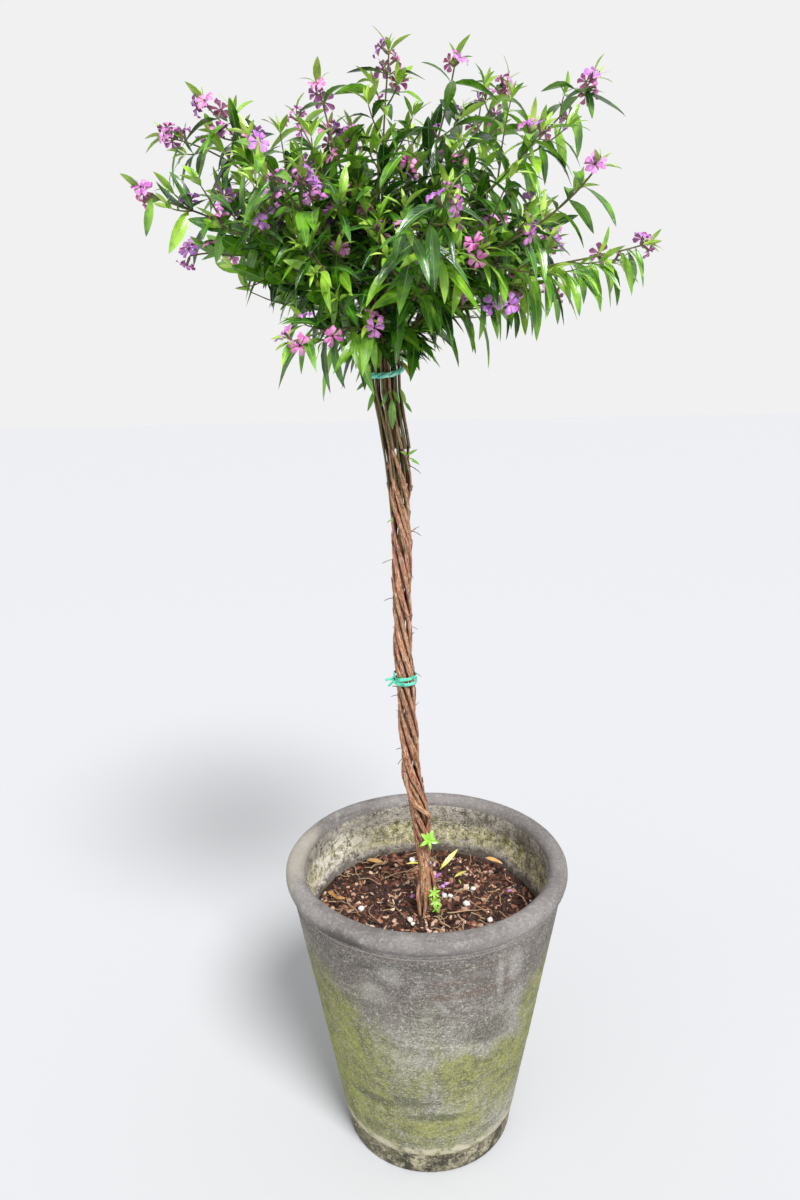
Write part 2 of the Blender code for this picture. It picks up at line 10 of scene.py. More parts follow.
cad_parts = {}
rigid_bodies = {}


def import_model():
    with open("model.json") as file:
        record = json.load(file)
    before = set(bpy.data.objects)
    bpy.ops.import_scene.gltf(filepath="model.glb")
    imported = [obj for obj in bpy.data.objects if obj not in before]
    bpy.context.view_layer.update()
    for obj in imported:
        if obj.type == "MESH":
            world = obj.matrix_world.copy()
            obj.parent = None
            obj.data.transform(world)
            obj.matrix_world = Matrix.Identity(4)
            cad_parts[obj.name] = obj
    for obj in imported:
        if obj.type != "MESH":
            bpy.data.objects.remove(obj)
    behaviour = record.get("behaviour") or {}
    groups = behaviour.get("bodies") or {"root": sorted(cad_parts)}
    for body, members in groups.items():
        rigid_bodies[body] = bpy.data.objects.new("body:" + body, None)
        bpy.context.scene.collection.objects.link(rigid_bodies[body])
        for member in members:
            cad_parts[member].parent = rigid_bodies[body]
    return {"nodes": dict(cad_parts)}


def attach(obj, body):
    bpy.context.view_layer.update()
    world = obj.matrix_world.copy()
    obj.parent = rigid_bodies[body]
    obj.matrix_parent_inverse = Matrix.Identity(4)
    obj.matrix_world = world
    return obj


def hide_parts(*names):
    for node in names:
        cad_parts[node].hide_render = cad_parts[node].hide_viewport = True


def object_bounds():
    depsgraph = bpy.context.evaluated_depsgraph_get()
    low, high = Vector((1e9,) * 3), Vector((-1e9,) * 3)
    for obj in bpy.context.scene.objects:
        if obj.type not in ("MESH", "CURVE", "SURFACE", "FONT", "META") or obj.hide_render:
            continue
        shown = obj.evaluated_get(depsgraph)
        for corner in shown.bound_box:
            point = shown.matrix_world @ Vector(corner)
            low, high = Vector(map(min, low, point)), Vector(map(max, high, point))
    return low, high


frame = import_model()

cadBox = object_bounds()
up = np.array([0.0, 0.0, 1.0])
flat = np.array([1.0, 1.0, 0.0])  # times a vector: its level part
even = (1, 1, 1)  # no stretch
print("frame loaded:", len(frame["nodes"]), "solids")


def ease(value, low, high):
    t = min(max((value - low) / (high - low), 0.0), 1.0)
    return t * t * (3 - 2 * t)


def unit(vector):
    return vector / max(float(np.linalg.norm(vector)), 1e-9)


def compass(degrees):
    angle = math.radians(degrees)
    return np.array([math.cos(angle), math.sin(angle), 0.0])


def wander(place, scale, seed):
    # smooth noise from -1 to 1 at a place
    x, y, z = place[0] * scale + seed, place[1] * scale - seed, place[2] * scale + 2.7 * seed
    return noise.noise(Vector((x, y, z)))


def along(points, distance):
    # point and direction at a distance along a run of points
    steps = np.linalg.norm(np.diff(points, axis=0), axis=1)
    marks = np.concatenate([[0.0], np.cumsum(steps)])
    distance = float(np.clip(distance, 0.0, marks[-1] - 1e-9))
    k = int(np.searchsorted(marks, distance, side="right") - 1)
    t = (distance - marks[k]) / steps[k]
    return points[k] * (1 - t) + points[k + 1] * t, (points[k + 1] - points[k]) / steps[k]


def runLength(points):
    return float(np.linalg.norm(np.diff(points, axis=0), axis=1).sum())


def bezier(a, b, c, d, count):
    t = np.linspace(0.0, 1.0, count)[:, None]
    return a * (1 - t) ** 3 + 3 * b * t * (1 - t) ** 2 + 3 * c * t * t * (1 - t) + d * t**3


def sideOf(direction, turn):
    # a direction square to the given one, at a turn round it measured from level
    level = np.cross(direction, up)
    level = unit(level) if np.linalg.norm(level) > 0.05 else np.array([1.0, 0.0, 0.0])
    upper = unit(np.cross(level, direction))
    return level * math.cos(turn) + upper * math.sin(turn)


def linked(name, data):
    made = bpy.data.objects.new(name, data)
    bpy.context.scene.collection.objects.link(made)
    return made


def meshPiece(name, verts, faces, materials, smooth=True):
    mesh = bpy.data.meshes.new(name)
    mesh.from_pydata([tuple(v) for v in verts], [], faces)
    for material in materials:
        mesh.materials.append(material)
    if smooth:
        mesh.shade_smooth()
    return linked(name, mesh)


def ringQuads(rings, around, base=0):
    # faces between rings of points that follow each other
    faces = []
    for ring in range(rings - 1):
        a, b = base + ring * around, base + (ring + 1) * around
        for step in range(around):
            after = (step + 1) % around
            faces.append((a + step, a + after, b + after, b + step))
    return faces


def settle(piece, slot, *nodes):
    # the piece rides with the plant and stands for these solids
    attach(piece, "root")
    if nodes:
        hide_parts(*nodes)
    return piece


def put(tree, kind, links=None, **settings):
    made = tree.nodes.new(kind)
    for key, value in settings.items():
        setattr(made, key, value)
    for socket, value in (links or {}).items():
        if isinstance(value, bpy.types.NodeSocket):
            tree.links.new(value, made.inputs[socket])
        else:
            made.inputs[socket].default_value = value
    return made


def calc(tree, operation, a, b=0.0):
    return put(tree, "ShaderNodeMath", {0: a, 1: b}, operation=operation).outputs[0]


def times(tree, a, b):
    return calc(tree, "MULTIPLY", a, b)


def plus(tree, a, b):
    return calc(tree, "ADD", a, b)


def sway(tree, value, amount):
    # a grain turned into a push either way
    return times(tree, calc(tree, "SUBTRACT", value, 0.5), amount)


def blendTones(tree, share, low, high):
    low = (*low, 1.0) if isinstance(low, tuple) and len(low) == 3 else low
    high = (*high, 1.0) if isinstance(high, tuple) and len(high) == 3 else high
    return put(tree, "ShaderNodeMix", {0: share, 6: low, 7: high}, data_type="RGBA").outputs[2]


def glaze(tree, tone, mask, share, colour):
    # a wash of colour over a tone, as strong as its mask and its share
    return blendTones(tree, times(tree, mask, share), tone, colour)


def shadeOf(tone, share, most=1.0):
    return tuple(min(c * share, most) for c in tone)


def grain(tree, place, scale, detail=3.0, rough=0.55, stretch=even, shift=(0, 0, 0)):
    spot = place
    if stretch != even or shift != (0, 0, 0):
        spot = put(tree, "ShaderNodeMapping", {0: place, 1: shift, 3: stretch}).outputs[0]
    return put(tree, "ShaderNodeTexNoise", {0: spot, 2: scale, 3: detail, 4: rough}).outputs[0]


def between(tree, value, low, high):
    # 0 at low, 1 at high, smooth between; low may be above high
    made = put(tree, "ShaderNodeMapRange", {0: value, 1: low, 2: high, 3: 0.0, 4: 1.0})
    made.interpolation_type = "SMOOTHSTEP"
    return made.outputs[0]


def band(tree, value, start, full, still, end):
    # rises from start to full and falls from still to end
    return times(tree, between(tree, value, start, full), between(tree, value, end, still))


def speckle(tree, place, low, high, *cut, **more):
    # patches of a grain: 0 where it is under low, 1 where it is over high
    return between(tree, grain(tree, place, *cut, **more), low, high)


def washes(tree, place, tone, rows):
    # each row: its grain, where that starts and is full, share and colour
    for cut, low, high, share, colour in rows:
        tone = glaze(tree, tone, speckle(tree, place, low, high, *cut), share, colour)
    return tone


def shaderOf(material):
    return material.node_tree.nodes["Principled BSDF"]


def newMaterial(name, roughness=0.6):
    made = bpy.data.materials.new(name)
    made.use_nodes = True
    shaderOf(made).inputs["Roughness"].default_value = roughness
    return made, made.node_tree, put(made.node_tree, "ShaderNodeTexCoord").outputs["Object"]


def finished(made, tone, height=None, strength=0.0, distance=0.0):
    # colour and relief into the material
    tree, shader = made.node_tree, shaderOf(made)
    tree.links.new(tone, shader.inputs["Base Color"])
    if height is not None:
        relief = put(tree, "ShaderNodeBump", {0: strength, 1: distance})
        tree.links.new(height, relief.inputs["Height"])
        tree.links.new(relief.outputs[0], shader.inputs["Normal"])
    return made


def grainyMaterial(name, roughness, scale, dark, light):
    # one fine grain between two tones
    made, tree, place = newMaterial(name, roughness)
    return finished(made, blendTones(tree, grain(tree, place, scale), dark, light))


def newTree(name, inputs, output):
    # a geometry tree with named inputs and one output
    tree = bpy.data.node_groups.new(name, "GeometryNodeTree")
    for key, kind in inputs.items():
        tree.interface.new_socket(key, in_out="INPUT", socket_type="NodeSocket" + kind)
    tree.interface.new_socket(output, in_out="OUTPUT", socket_type="NodeSocketGeometry")
    return tree, put(tree, "NodeGroupInput").outputs


def endTree(tree, shape, finish=None):
    shape = put(tree, "GeometryNodeRealizeInstances", {0: shape}).outputs[0]
    if finish is not None:
        shape = put(tree, "GeometryNodeSetMaterial", {"Geometry": shape, "Material": finish}).outputs[0]
    put(tree, "NodeGroupOutput", {0: shape})
    return tree


def named(tree, name, kind="FLOAT"):
    return put(tree, "GeometryNodeInputNamedAttribute", {"Name": name}, data_type=kind).outputs[0]


def stored(tree, shape, name, value, kind="FLOAT_VECTOR", domain="POINT"):
    links = {"Geometry": shape, "Name": name, "Value": value}
    return put(tree, "GeometryNodeStoreNamedAttribute", links, data_type=kind, domain=domain).outputs[0]


def drawn(tree, kind, low, high, seed):
    # a random value from low to high for each point
    slot = ("FLOAT_VECTOR", "FLOAT", "INT").index(kind)
    links = {2 * slot: low, 2 * slot + 1: high, "Seed": seed}
    return put(tree, "FunctionNodeRandomValue", links, data_type=kind).outputs[slot]


studio = {
    "lens": 26.7,
    "cameraPlace": (-0.0159, -0.5913, 0.579),
    "cameraDip": 14.84,
    "cameraRoll": -1.08,
    "backdropGlow": 0.88,
    "skyStrength": 0.54,
    # name, power, spread in degrees and where it comes from
    "lights": (
        ("keyLight", 3.66, 20.0, (0.35, -0.78, 1.0)),
        ("fillLight", 0.55, 60.0, (-0.8, -1.0, 0.35)),
    ),
    "floorTone": (0.595, 0.605, 0.625),
    "floorReach": 9,
}


def makeStudio():
    scene = bpy.context.scene
    lens = bpy.data.cameras.new("camera")
    lens.lens = studio["lens"]
    lens.sensor_width = 36.0
    lens.clip_start = 0.02
    camera = linked("camera", lens)
    tilt = Matrix.Rotation(math.radians(90 - studio["cameraDip"]), 4, "X")
    roll = Matrix.Rotation(math.radians(studio["cameraRoll"]), 4, "Z")
    camera.matrix_world = Matrix.Translation(studio["cameraPlace"]) @ tilt @ roll
    scene.camera = camera
    scene.view_settings.view_transform = "Standard"
    world = bpy.data.worlds.new("sky")
    world.use_nodes = True
    tree = world.node_tree
    sky = tree.nodes["Background"]
    sky.inputs[0].default_value = (1.0, 1.0, 1.0, 1.0)
    # the backdrop that the camera sees is brighter than the light from it
    seen = put(tree, "ShaderNodeLightPath").outputs["Is Camera Ray"]
    glow = put(tree, "ShaderNodeMapRange", {0: seen, 3: studio["skyStrength"], 4: studio["backdropGlow"]})
    tree.links.new(glow.outputs[0], sky.inputs[1])
    scene.world = world
    for name, power, spread, origin in studio["lights"]:
        lamp = bpy.data.lights.new(name, "SUN")
        lamp.energy = power
        lamp.angle = math.radians(spread)
        holder = linked(name, lamp)
        holder.location = origin
        holder.rotation_euler = (-Vector(origin)).to_track_quat("-Z", "Y").to_euler()
    pale = newMaterial("paleFloor", 0.7)[0]
    shaderOf(pale).inputs["Base Color"].default_value = (*studio["floorTone"], 1.0)
    reach = studio["floorReach"]
    corners = [(-reach, -reach, 0), (reach, -reach, 0), (reach, reach, 0), (-reach, reach, 0)]
    floor = meshPiece("floor", corners, [(0, 1, 2, 3)], [pale], False)
    print("studio ready")


pot = {
    "height": 0.2264,
    "rimRadius": 0.104,
    "rimRoll": 0.0071,
    "bodyTop": 0.1003,
    "footTop": 0.0672,
    "footHeight": 0.0209,
    "base": 0.0642,
    "thickness": 0.0086,
    "floor": 0.012,
    "around": 224,
    "bodyRings": 92,
    "rimRings": 22,
    "innerRings": 42,
    "innerLow": 0.168,
    # how deep each kind of unevenness goes
    "wobble": 0.0004,
    "throwLines": 0.00013,
    "grit": 0.00016,
    "pits": 0.0011,
    "crumbs": 0.0005,
    "chips": 0.0016,
    "groove": 0.0006,
    "collar": 0.0007,
    "flatBelow": 0.0025,
}


def innerRadius(height):
    share = (height - pot["footHeight"]) / (pot["height"] - 2 * pot["rimRoll"] - pot["footHeight"])
    return pot["footTop"] + (pot["bodyTop"] - pot["footTop"]) * share - pot["thickness"]


def potProfile():
    # radius, height and zone of each ring, from the middle of the underside to the middle of the floor
    base, footTop, bodyTop = pot["base"], pot["footTop"], pot["bodyTop"]
    rings = [(r, 0.0, "foot") for r in (0.020, 0.042, 0.056, 0.0612)]
    rings += [(base - 0.0013, 0.0005, "foot"), (base - 0.0005, 0.0014, "foot")]
    for k in range(12):
        t = k / 11
        rings.append((base + (footTop - 0.0009 - base) * t, 0.003 + 0.0162 * t, "foot"))
    rollLow = pot["height"] - 2 * pot["rimRoll"]
    steps = pot["bodyRings"] - 1
    for k in range(pot["bodyRings"]):
        z = pot["footHeight"] + (rollLow - pot["footHeight"]) * k / steps
        r = footTop + (bodyTop - footTop) * k / steps
        groove = pot["groove"] * math.exp(-(((z - rollLow + 0.0045) / 0.0009) ** 2))
        collar = pot["collar"] * ease(z, rollLow - 0.0040, rollLow - 0.0010)
        rings.append((r - groove + collar, z, "body"))
    reach = pot["rimRoll"]
    centreR, centreZ = pot["rimRadius"] - reach, pot["height"] - reach
    for k in range(pot["rimRings"]):
        angle = math.radians(-58 + k * 238 / (pot["rimRings"] - 1))
        # a little flattened on top and below
        squash = 1.0 - 0.06 * abs(math.sin(angle))
        z = centreZ + reach * squash * math.sin(angle) / 0.94
        rings.append((centreR + reach * math.cos(angle), z, "rim"))
    top = rings[-1]
    for k in range(1, pot["innerRings"] + 1):
        share = k / pot["innerRings"]
        z = top[1] - 0.0006 + (pot["innerLow"] - top[1]) * k / pot["innerRings"]
        r = innerRadius(z) + (top[0] - innerRadius(top[1])) * (1 - ease(share, 0.0, 0.35))
        rings.append((r, z, "inner"))
    for z in (0.15, 0.11, 0.06, 0.02, 0.0135):
        rings.append((innerRadius(z), z, "inner"))
    return rings + [(innerRadius(pot["floor"]) - 0.002, pot["floor"], "inner"), (0.03, pot["floor"], "inner")]


def potPush(place, zone, c, s):
    # how far the clay stands out from its profile at a place
    push = pot["wobble"] * wander(place, 22, 3.1)
    push += pot["throwLines"] * noise.noise(Vector((c * 1.6, s * 1.6, place[2] * 330)))
    push += pot["grit"] * wander(place, 420, 8.0)
    push -= pot["pits"] * max(wander(place, 170, 5.5) - 0.46, 0.0)
    if zone == "inner":
        push += pot["crumbs"] * max(wander(place, 260, 1.2), 0.0)
    if zone == "foot":
        push -= pot["chips"] * max(wander(place, 90, 6.6) - 0.30, 0.0)
    return push


def makePot():
    rings = potProfile()
    around = pot["around"]
    verts = [(0.0, 0.0, 0.0)]
    zones = ("body", "rim", "inner", "foot")
    for index, (r, z, zone) in enumerate(rings):
        low, high = rings[max(index - 1, 0)], rings[min(index + 1, len(rings) - 1)]
        outR, outZ = high[1] - low[1], low[0] - high[0]
        size = math.hypot(outR, outZ) or 1.0
        outR, outZ = outR / size, outZ / size
        for step in range(around):
            angle = math.tau * step / around
            c, s = math.cos(angle), math.sin(angle)
            push = potPush((r * c, r * s, z), zone, c, s) if z > pot["flatBelow"] else 0.0
            verts.append(((r + outR * push) * c, (r + outR * push) * s, z + outZ * push))
    verts.append((0.0, 0.0, pot["floor"]))
    last = len(verts) - 1
    base = last - around
    faces = [(0, 1 + (step + 1) % around, 1 + step) for step in range(around)]
    faces += ringQuads(len(rings), around, 1)
    faces += [(base + step, base + (step + 1) % around, last) for step in range(around)]
    slots = ["foot"] * around + [ring[2] for ring in rings[1:] for _ in range(around)] + ["inner"] * around
    made = meshPiece("potClay", verts, faces, [clayMaterial(), rimMaterial(), innerMaterial(), footMaterial()])
    made.data.polygons.foreach_set("material_index", [zones.index(slot) for slot in slots])
    settle(made, "terracotta", "pot")
    print("pot made:", len(faces), "faces")


def vectorMath(tree, operation, links):
    return put(tree, "ShaderNodeVectorMath", links, operation=operation).outputs


def spotMask(tree, place, centre, size, ragged=0.5):
    # 1 near a place on the pot and 0 away from it, with a ragged edge
    moved = vectorMath(tree, "SUBTRACT", {0: place, 1: centre})[0]
    shrunk = vectorMath(tree, "DIVIDE", {0: moved, 1: size})[0]
    reach = vectorMath(tree, "LENGTH", {0: shrunk})["Value"]
    reach = plus(tree, reach, sway(tree, grain(tree, place, 60, 8, 0.78), ragged * 2))
    return between(tree, reach, 1.15, 0.45)


def patched(tree, place, tone, rows, ragged):
    for centre, size, share, patchTone in rows:
        tone = glaze(tree, tone, spotMask(tree, place, centre, size, ragged), share, patchTone)
    return tone


def clayTones(tree, place, dark, light, contrast=1.0):
    # the grey skin of old clay: broad clouds, mottling, brushed bands, pale salt grains and dark flecks
    tone = blendTones(tree, speckle(tree, place, 0.36, 0.66, 16, 4, 0.6), dark, light)
    rows = (
        ((190, 8, 0.88, even, (9, 3, 1)), 0.47, 0.60, 0.72 * contrast, shadeOf(dark, 0.36)),
        ((9, 6, 0.8, (1, 1, 14), (3, 1, 0)), 0.50, 0.66, 0.55, shadeOf(dark, 0.50)),
        ((480, 5, 0.84, even, (2, 8, 5)), 0.51, 0.62, 0.62 * contrast, shadeOf(light, 2.3, 0.80)),
        ((600, 3, 0.7, even, (5, 2, 1)), 0.57, 0.66, 0.60 * contrast, shadeOf(dark, 0.30)),
    )
    return washes(tree, place, tone, rows)


# weathered places of the outside: middle, half sizes, strength and tone
clayPatches = (
    ((0.032, -0.089, 0.1765), (0.036, 0.03, 0.0042), 0.60, (0.140, 0.084, 0.068)),
    ((0.030, -0.092, 0.1990), (0.030, 0.03, 0.0032), 0.50, (0.140, 0.088, 0.072)),
    ((0.018, -0.094, 0.1885), (0.026, 0.03, 0.0028), 0.50, (0.150, 0.092, 0.076)),
    ((-0.060, 0.070, 0.1500), (0.040, 0.03, 0.0050), 0.60, (0.140, 0.088, 0.072)),
    ((-0.045, -0.087, 0.1970), (0.026, 0.03, 0.0036), 0.65, (0.070, 0.062, 0.055)),
    ((-0.010, -0.091, 0.2015), (0.030, 0.03, 0.0030), 0.50, (0.085, 0.074, 0.066)),
    ((0.041, -0.077, 0.1375), (0.019, 0.03, 0.0140), 0.72, (0.085, 0.074, 0.062)),
    ((-0.028, -0.093, 0.1940), (0.010, 0.03, 0.0130), 0.42, (0.440, 0.425, 0.400)),
    ((-0.040, -0.085, 0.1740), (0.015, 0.03, 0.0100), 0.42, (0.420, 0.410, 0.370)),
    ((0.057, -0.078, 0.1900), (0.006, 0.03, 0.0160), 0.42, (0.460, 0.440, 0.410)),
    ((0.046, -0.084, 0.1850), (0.003, 0.03, 0.0180), 0.40, (0.440, 0.420, 0.390)),
    ((-0.043, -0.062, 0.0690), (0.026, 0.03, 0.0060), 0.72, (0.072, 0.080, 0.034)),
    ((-0.014, -0.075, 0.0750), (0.020, 0.03, 0.0055), 0.66, (0.072, 0.080, 0.040)),
    ((0.002, -0.074, 0.0596), (0.026, 0.03, 0.0050), 0.66, (0.070, 0.078, 0.036)),
    ((-0.010, -0.085, 0.1270), (0.022, 0.03, 0.0035), 0.35, (0.100, 0.098, 0.070)),
    ((-0.0097, -0.0906, 0.1591), (0.0022, 0.02, 0.0012), 0.80, (0.050, 0.046, 0.040)),
)
# where the moss film is thickest: middle, half sizes, added growth
mossPatches = (
    ((-0.066, -0.050, 0.1100), (0.034, 0.050, 0.0520), 0.20),
    ((-0.052, -0.050, 0.0560), (0.030, 0.050, 0.0300), 0.24),
    ((0.021, -0.079, 0.1020), (0.022, 0.030, 0.0190), 0.15),
    ((0.052, -0.060, 0.0900), (0.020, 0.040, 0.0340), 0.15),
    ((0.004, -0.072, 0.0500), (0.036, 0.030, 0.0130), 0.20),
    ((0.072, -0.040, 0.1420), (0.016, 0.050, 0.0260), 0.14),
)
# rows for washes: smudges, throwing lines, pale and dark scratches, pits and salt grains
clayMarks = (
    ((15, 4, 0.72, (1, 1, 3.2), (4.1, 2.2, 0)), 0.585, 0.70, 0.55, (0.085, 0.088, 0.070)),
    ((14, 3, 0.8, (0.5, 0.5, 22), (0, 7, 0)), 0.56, 0.70, 0.32, (0.10, 0.098, 0.080)),
    ((70, 6, 0.9, (1, 1, 5), (2, 5, 1)), 0.555, 0.60, 0.34, (0.500, 0.480, 0.420)),
    ((60, 6, 0.9, (1, 1, 4), (8, 1, 6)), 0.58, 0.62, 0.55, (0.070, 0.066, 0.046)),
    ((520, 4, 0.85, (1, 1, 1.6), (3, 6, 2)), 0.55, 0.585, 0.62, (0.055, 0.054, 0.032)),
    ((620, 4, 0.85, (1, 1, 1.2), (7, 2, 5)), 0.57, 0.60, 0.60, (0.640, 0.630, 0.530)),
)
# salt bloom and stains of the rim, then its chalky and its scuffed place
rimMarks = (
    ((120, 5, 0.75), 0.55, 0.70, 0.35, (0.45, 0.44, 0.41)),
    ((26, 5, 0.7, even, (2.1, 0, 0)), 0.57, 0.68, 0.5, (0.085, 0.078, 0.064)),
)
rimPatches = (
    ((-0.094, 0.010, 0.224), (0.016, 0.060, 0.006), 0.45, (0.520, 0.480, 0.390)),
    ((-0.058, -0.079, 0.214), (0.020, 0.03, 0.009), 0.75, (0.050, 0.045, 0.034)),
)
# lime, black stains and moss of the foot
footMarks = (
    ((130, 6, 0.8), 0.50, 0.60, 0.75, (0.520, 0.470, 0.330)),
    ((85, 6, 0.8, even, (2, 2, 2)), 0.50, 0.57, 0.88, (0.026, 0.024, 0.012)),
    ((60, 4, 0.7, even, (5, 2, 2)), 0.55, 0.68, 0.45, (0.130, 0.150, 0.030)),
)


def axes(tree, place):
    parts = put(tree, "ShaderNodeSeparateXYZ", {0: place}).outputs
    return parts[0], parts[2]


def clayMaterial():
    made, tree, place = newMaterial("weatheredClay", 0.88)
    side, height = axes(tree, place)
    tone = clayTones(tree, place, (0.205, 0.192, 0.158), (0.365, 0.352, 0.298))
    upper = clayTones(tree, place, (0.132, 0.112, 0.105), (0.198, 0.173, 0.163), 0.55)
    tone = blendTones(tree, between(tree, height, 0.120, 0.185), tone, upper)
    ledge = band(tree, height, 0.2078, 0.2088, 0.2100, 0.2112)
    tone = glaze(tree, tone, ledge, 0.45, (0.430, 0.400, 0.380))
    bloom = speckle(tree, place, 0.53, 0.70, 34, 6, 0.75, shift=(1.2, 0.4, 2.0))
    tone = glaze(tree, tone, bloom, 0.40, (0.46, 0.45, 0.41))
    # it is damp on the left, at the right edge, low down and in runs
    lowDown = between(tree, height, 0.172, 0.085)
    wet = times(tree, between(tree, side, -0.010, -0.078), 0.31)
    wet = plus(tree, wet, times(tree, between(tree, side, 0.040, 0.082), 0.17))
    wet = plus(tree, wet, times(tree, lowDown, 0.20))
    for centre, size, added in mossPatches:
        wet = plus(tree, wet, times(tree, spotMask(tree, place, centre, size, 0.6), added))
    wet = plus(tree, wet, sway(tree, grain(tree, place, 70, 5, 0.7, (1, 1, 0.16)), 0.34))
    # moss film where it is damp, then bright yellow-green growth in small drifts
    film = plus(tree, grain(tree, place, 19, 5, 0.68, (1, 1, 0.6), (0.3, 0.1, 0.7)), wet)
    film = times(tree, between(tree, film, 0.56, 0.86), between(tree, height, 0.195, 0.15))
    film = times(tree, film, speckle(tree, place, 0.26, 0.52, 420, 5, 0.85, shift=(6, 6, 1)))
    moss = speckle(tree, place, 0.38, 0.60, 90, 7, 0.85)
    moss = blendTones(tree, moss, (0.105, 0.110, 0.018), (0.285, 0.296, 0.062))
    tone = glaze(tree, tone, film, 0.90, moss)
    drift = plus(tree, grain(tree, place, 46, 5, 0.7, (1, 1, 0.5)), times(tree, wet, 0.35))
    drift = times(tree, between(tree, drift, 0.66, 0.80), lowDown)
    tone = glaze(tree, tone, drift, 0.60, (0.300, 0.350, 0.045))
    tone = patched(tree, place, tone, clayPatches, 0.8)
    tone = washes(tree, place, tone, clayMarks)
    # pale lime line above the foot
    ragged = plus(tree, height, times(tree, grain(tree, place, 120, 4), 0.010))
    lime = band(tree, ragged, 0.0240, 0.0262, 0.0295, 0.0335)
    lime = times(tree, lime, speckle(tree, place, 0.38, 0.54, 90, 6, 0.8, shift=(3, 9, 2)))
    tone = glaze(tree, tone, lime, 0.85, (0.560, 0.510, 0.380))
    relief = times(tree, grain(tree, place, 90, 4, 0.6, (1, 1, 5)), 0.7)
    return finished(made, tone, plus(tree, grain(tree, place, 520, 4, 0.75), relief), 0.60, 0.0013)


def rimMaterial():
    made, tree, place = newMaterial("wornRimClay", 0.86)
    tone = clayTones(tree, place, (0.182, 0.166, 0.159), (0.272, 0.251, 0.243), 0.42)
    tone = patched(tree, place, washes(tree, place, tone, rimMarks), rimPatches, 0.9)
    return finished(made, tone, grain(tree, place, 480, 5, 0.7), 0.40, 0.0008)


def innerMaterial():
    made, tree, place = newMaterial("insideClay", 0.92)
    side, height = axes(tree, place)
    # base tones partly the crust's own pale colour and partly painted light, lifted for the shaded inside
    tone = clayTones(tree, place, (0.360, 0.320, 0.265), (0.660, 0.600, 0.500))
    uneven = plus(tree, height, sway(tree, grain(tree, place, 55, 5, 0.7), 0.022))
    # crumbling crust above the mix
    crust = band(tree, uneven, 0.1855, 0.1905, 0.2025, 0.2085)
    crust = times(tree, crust, speckle(tree, place, 0.40, 0.52, 75, 6, 0.8, shift=(4, 0, 2)))
    crumbs = speckle(tree, place, 0.40, 0.60, 260, 6, 0.82)
    crumbs = blendTones(tree, crumbs, (0.330, 0.300, 0.125), (0.880, 0.810, 0.530))
    tone = glaze(tree, tone, crust, 0.95, crumbs)
    # moss and dirt in a belt
    belt = band(tree, uneven, 0.1900, 0.1990, 0.2060, 0.2120)
    moss = times(tree, speckle(tree, place, 0.49, 0.60, 95, 6, 0.8, shift=(1, 1, 1)), belt)
    tone = glaze(tree, tone, moss, 0.85, (0.155, 0.160, 0.030))
    dirt = times(tree, speckle(tree, place, 0.53, 0.62, 330, 5, 0.8, shift=(3, 1, 1)), belt)
    tone = glaze(tree, tone, dirt, 0.85, (0.060, 0.050, 0.030))
    pits = speckle(tree, place, 0.53, 0.58, 150, 7, 0.88, shift=(0, 4, 9))
    tone = glaze(tree, tone, pits, 0.85, (0.060, 0.050, 0.032))
    # darker on the right, chalky on the left, damp at the mix
    shaded = speckle(tree, place, 0.49, 0.58, 48, 6, 0.8, (1, 1, 0.6), (2, 7, 3))
    shaded = times(tree, shaded, plus(tree, 0.35, between(tree, side, -0.010, 0.060)))
    tone = glaze(tree, tone, shaded, 0.55, (0.120, 0.108, 0.078))
    chalky = times(tree, between(tree, side, -0.020, -0.070), between(tree, uneven, 0.217, 0.206))
    chalky = times(tree, chalky, speckle(tree, place, 0.465, 0.54, 140, 6, 0.86, shift=(8, 3, 5)))
    tone = glaze(tree, tone, chalky, 0.92, (0.960, 0.920, 0.800))
    tone = glaze(tree, tone, between(tree, uneven, 0.1865, 0.1815), 0.8, (0.085, 0.062, 0.050))
    relief = plus(tree, grain(tree, place, 300, 5, 0.78), grain(tree, place, 800, 3))
    return finished(made, tone, relief, 0.8, 0.0020)


def footMaterial():
    made, tree, place = newMaterial("footClay", 0.9)
    tone = clayTones(tree, place, (0.090, 0.080, 0.052), (0.210, 0.185, 0.125))
    tone = washes(tree, place, tone, footMarks)
    return finished(made, tone, grain(tree, place, 380, 5, 0.75), 0.6, 0.0012)


stand = {
    "soilLevel": 0.182,
    "stemTop": 0.5255,
    "stemCount": 6,
    "stemRadius": 0.00175,
    "braidReach": 0.0064,
    "braidLoose": 0.0086,
    "braidTurn": 0.13,
    "footFlare": 1.3,
    "flareHeight": 0.030,
    "flareSpread": 0.0032,
    "neckHeight": 0.5755,
    "neckHold": 0.010,
    "outerRing": 0.0090,
    "innerRing": 0.0044,
    "coreRing": 0.0017,
    "topSpread": 0.0014,
    "overhang": 0.013,
    # height, then the braid's middle in x and y
    "lean": (
        (0.182, -0.0006, 0.004),
        (0.235, -0.0018, 0.003),
        (0.268, -0.0052, 0.0015),
        (0.294, -0.0104, 0.0006),
        (0.349, -0.0124, 0.0),
        (0.394, -0.0145, 0.0),
        (0.462, -0.0143, 0.0),
        (0.530, -0.0156, 0.0),
        (0.5755, -0.0228, 0.0),
    ),
    "girths": (1.0, 0.9, 1.06, 0.94, 1.02, 0.88, 0.95),
}
# for each tier: elevation in degrees at the neck and at the tip, share of the way before the foliage
tiers = {
    "low": (55, -12, 0.28),
    "outer": (62, 14, 0.30),
    "mid": (76, 48, 0.36),
    "top": (86, 76, 0.34),
}
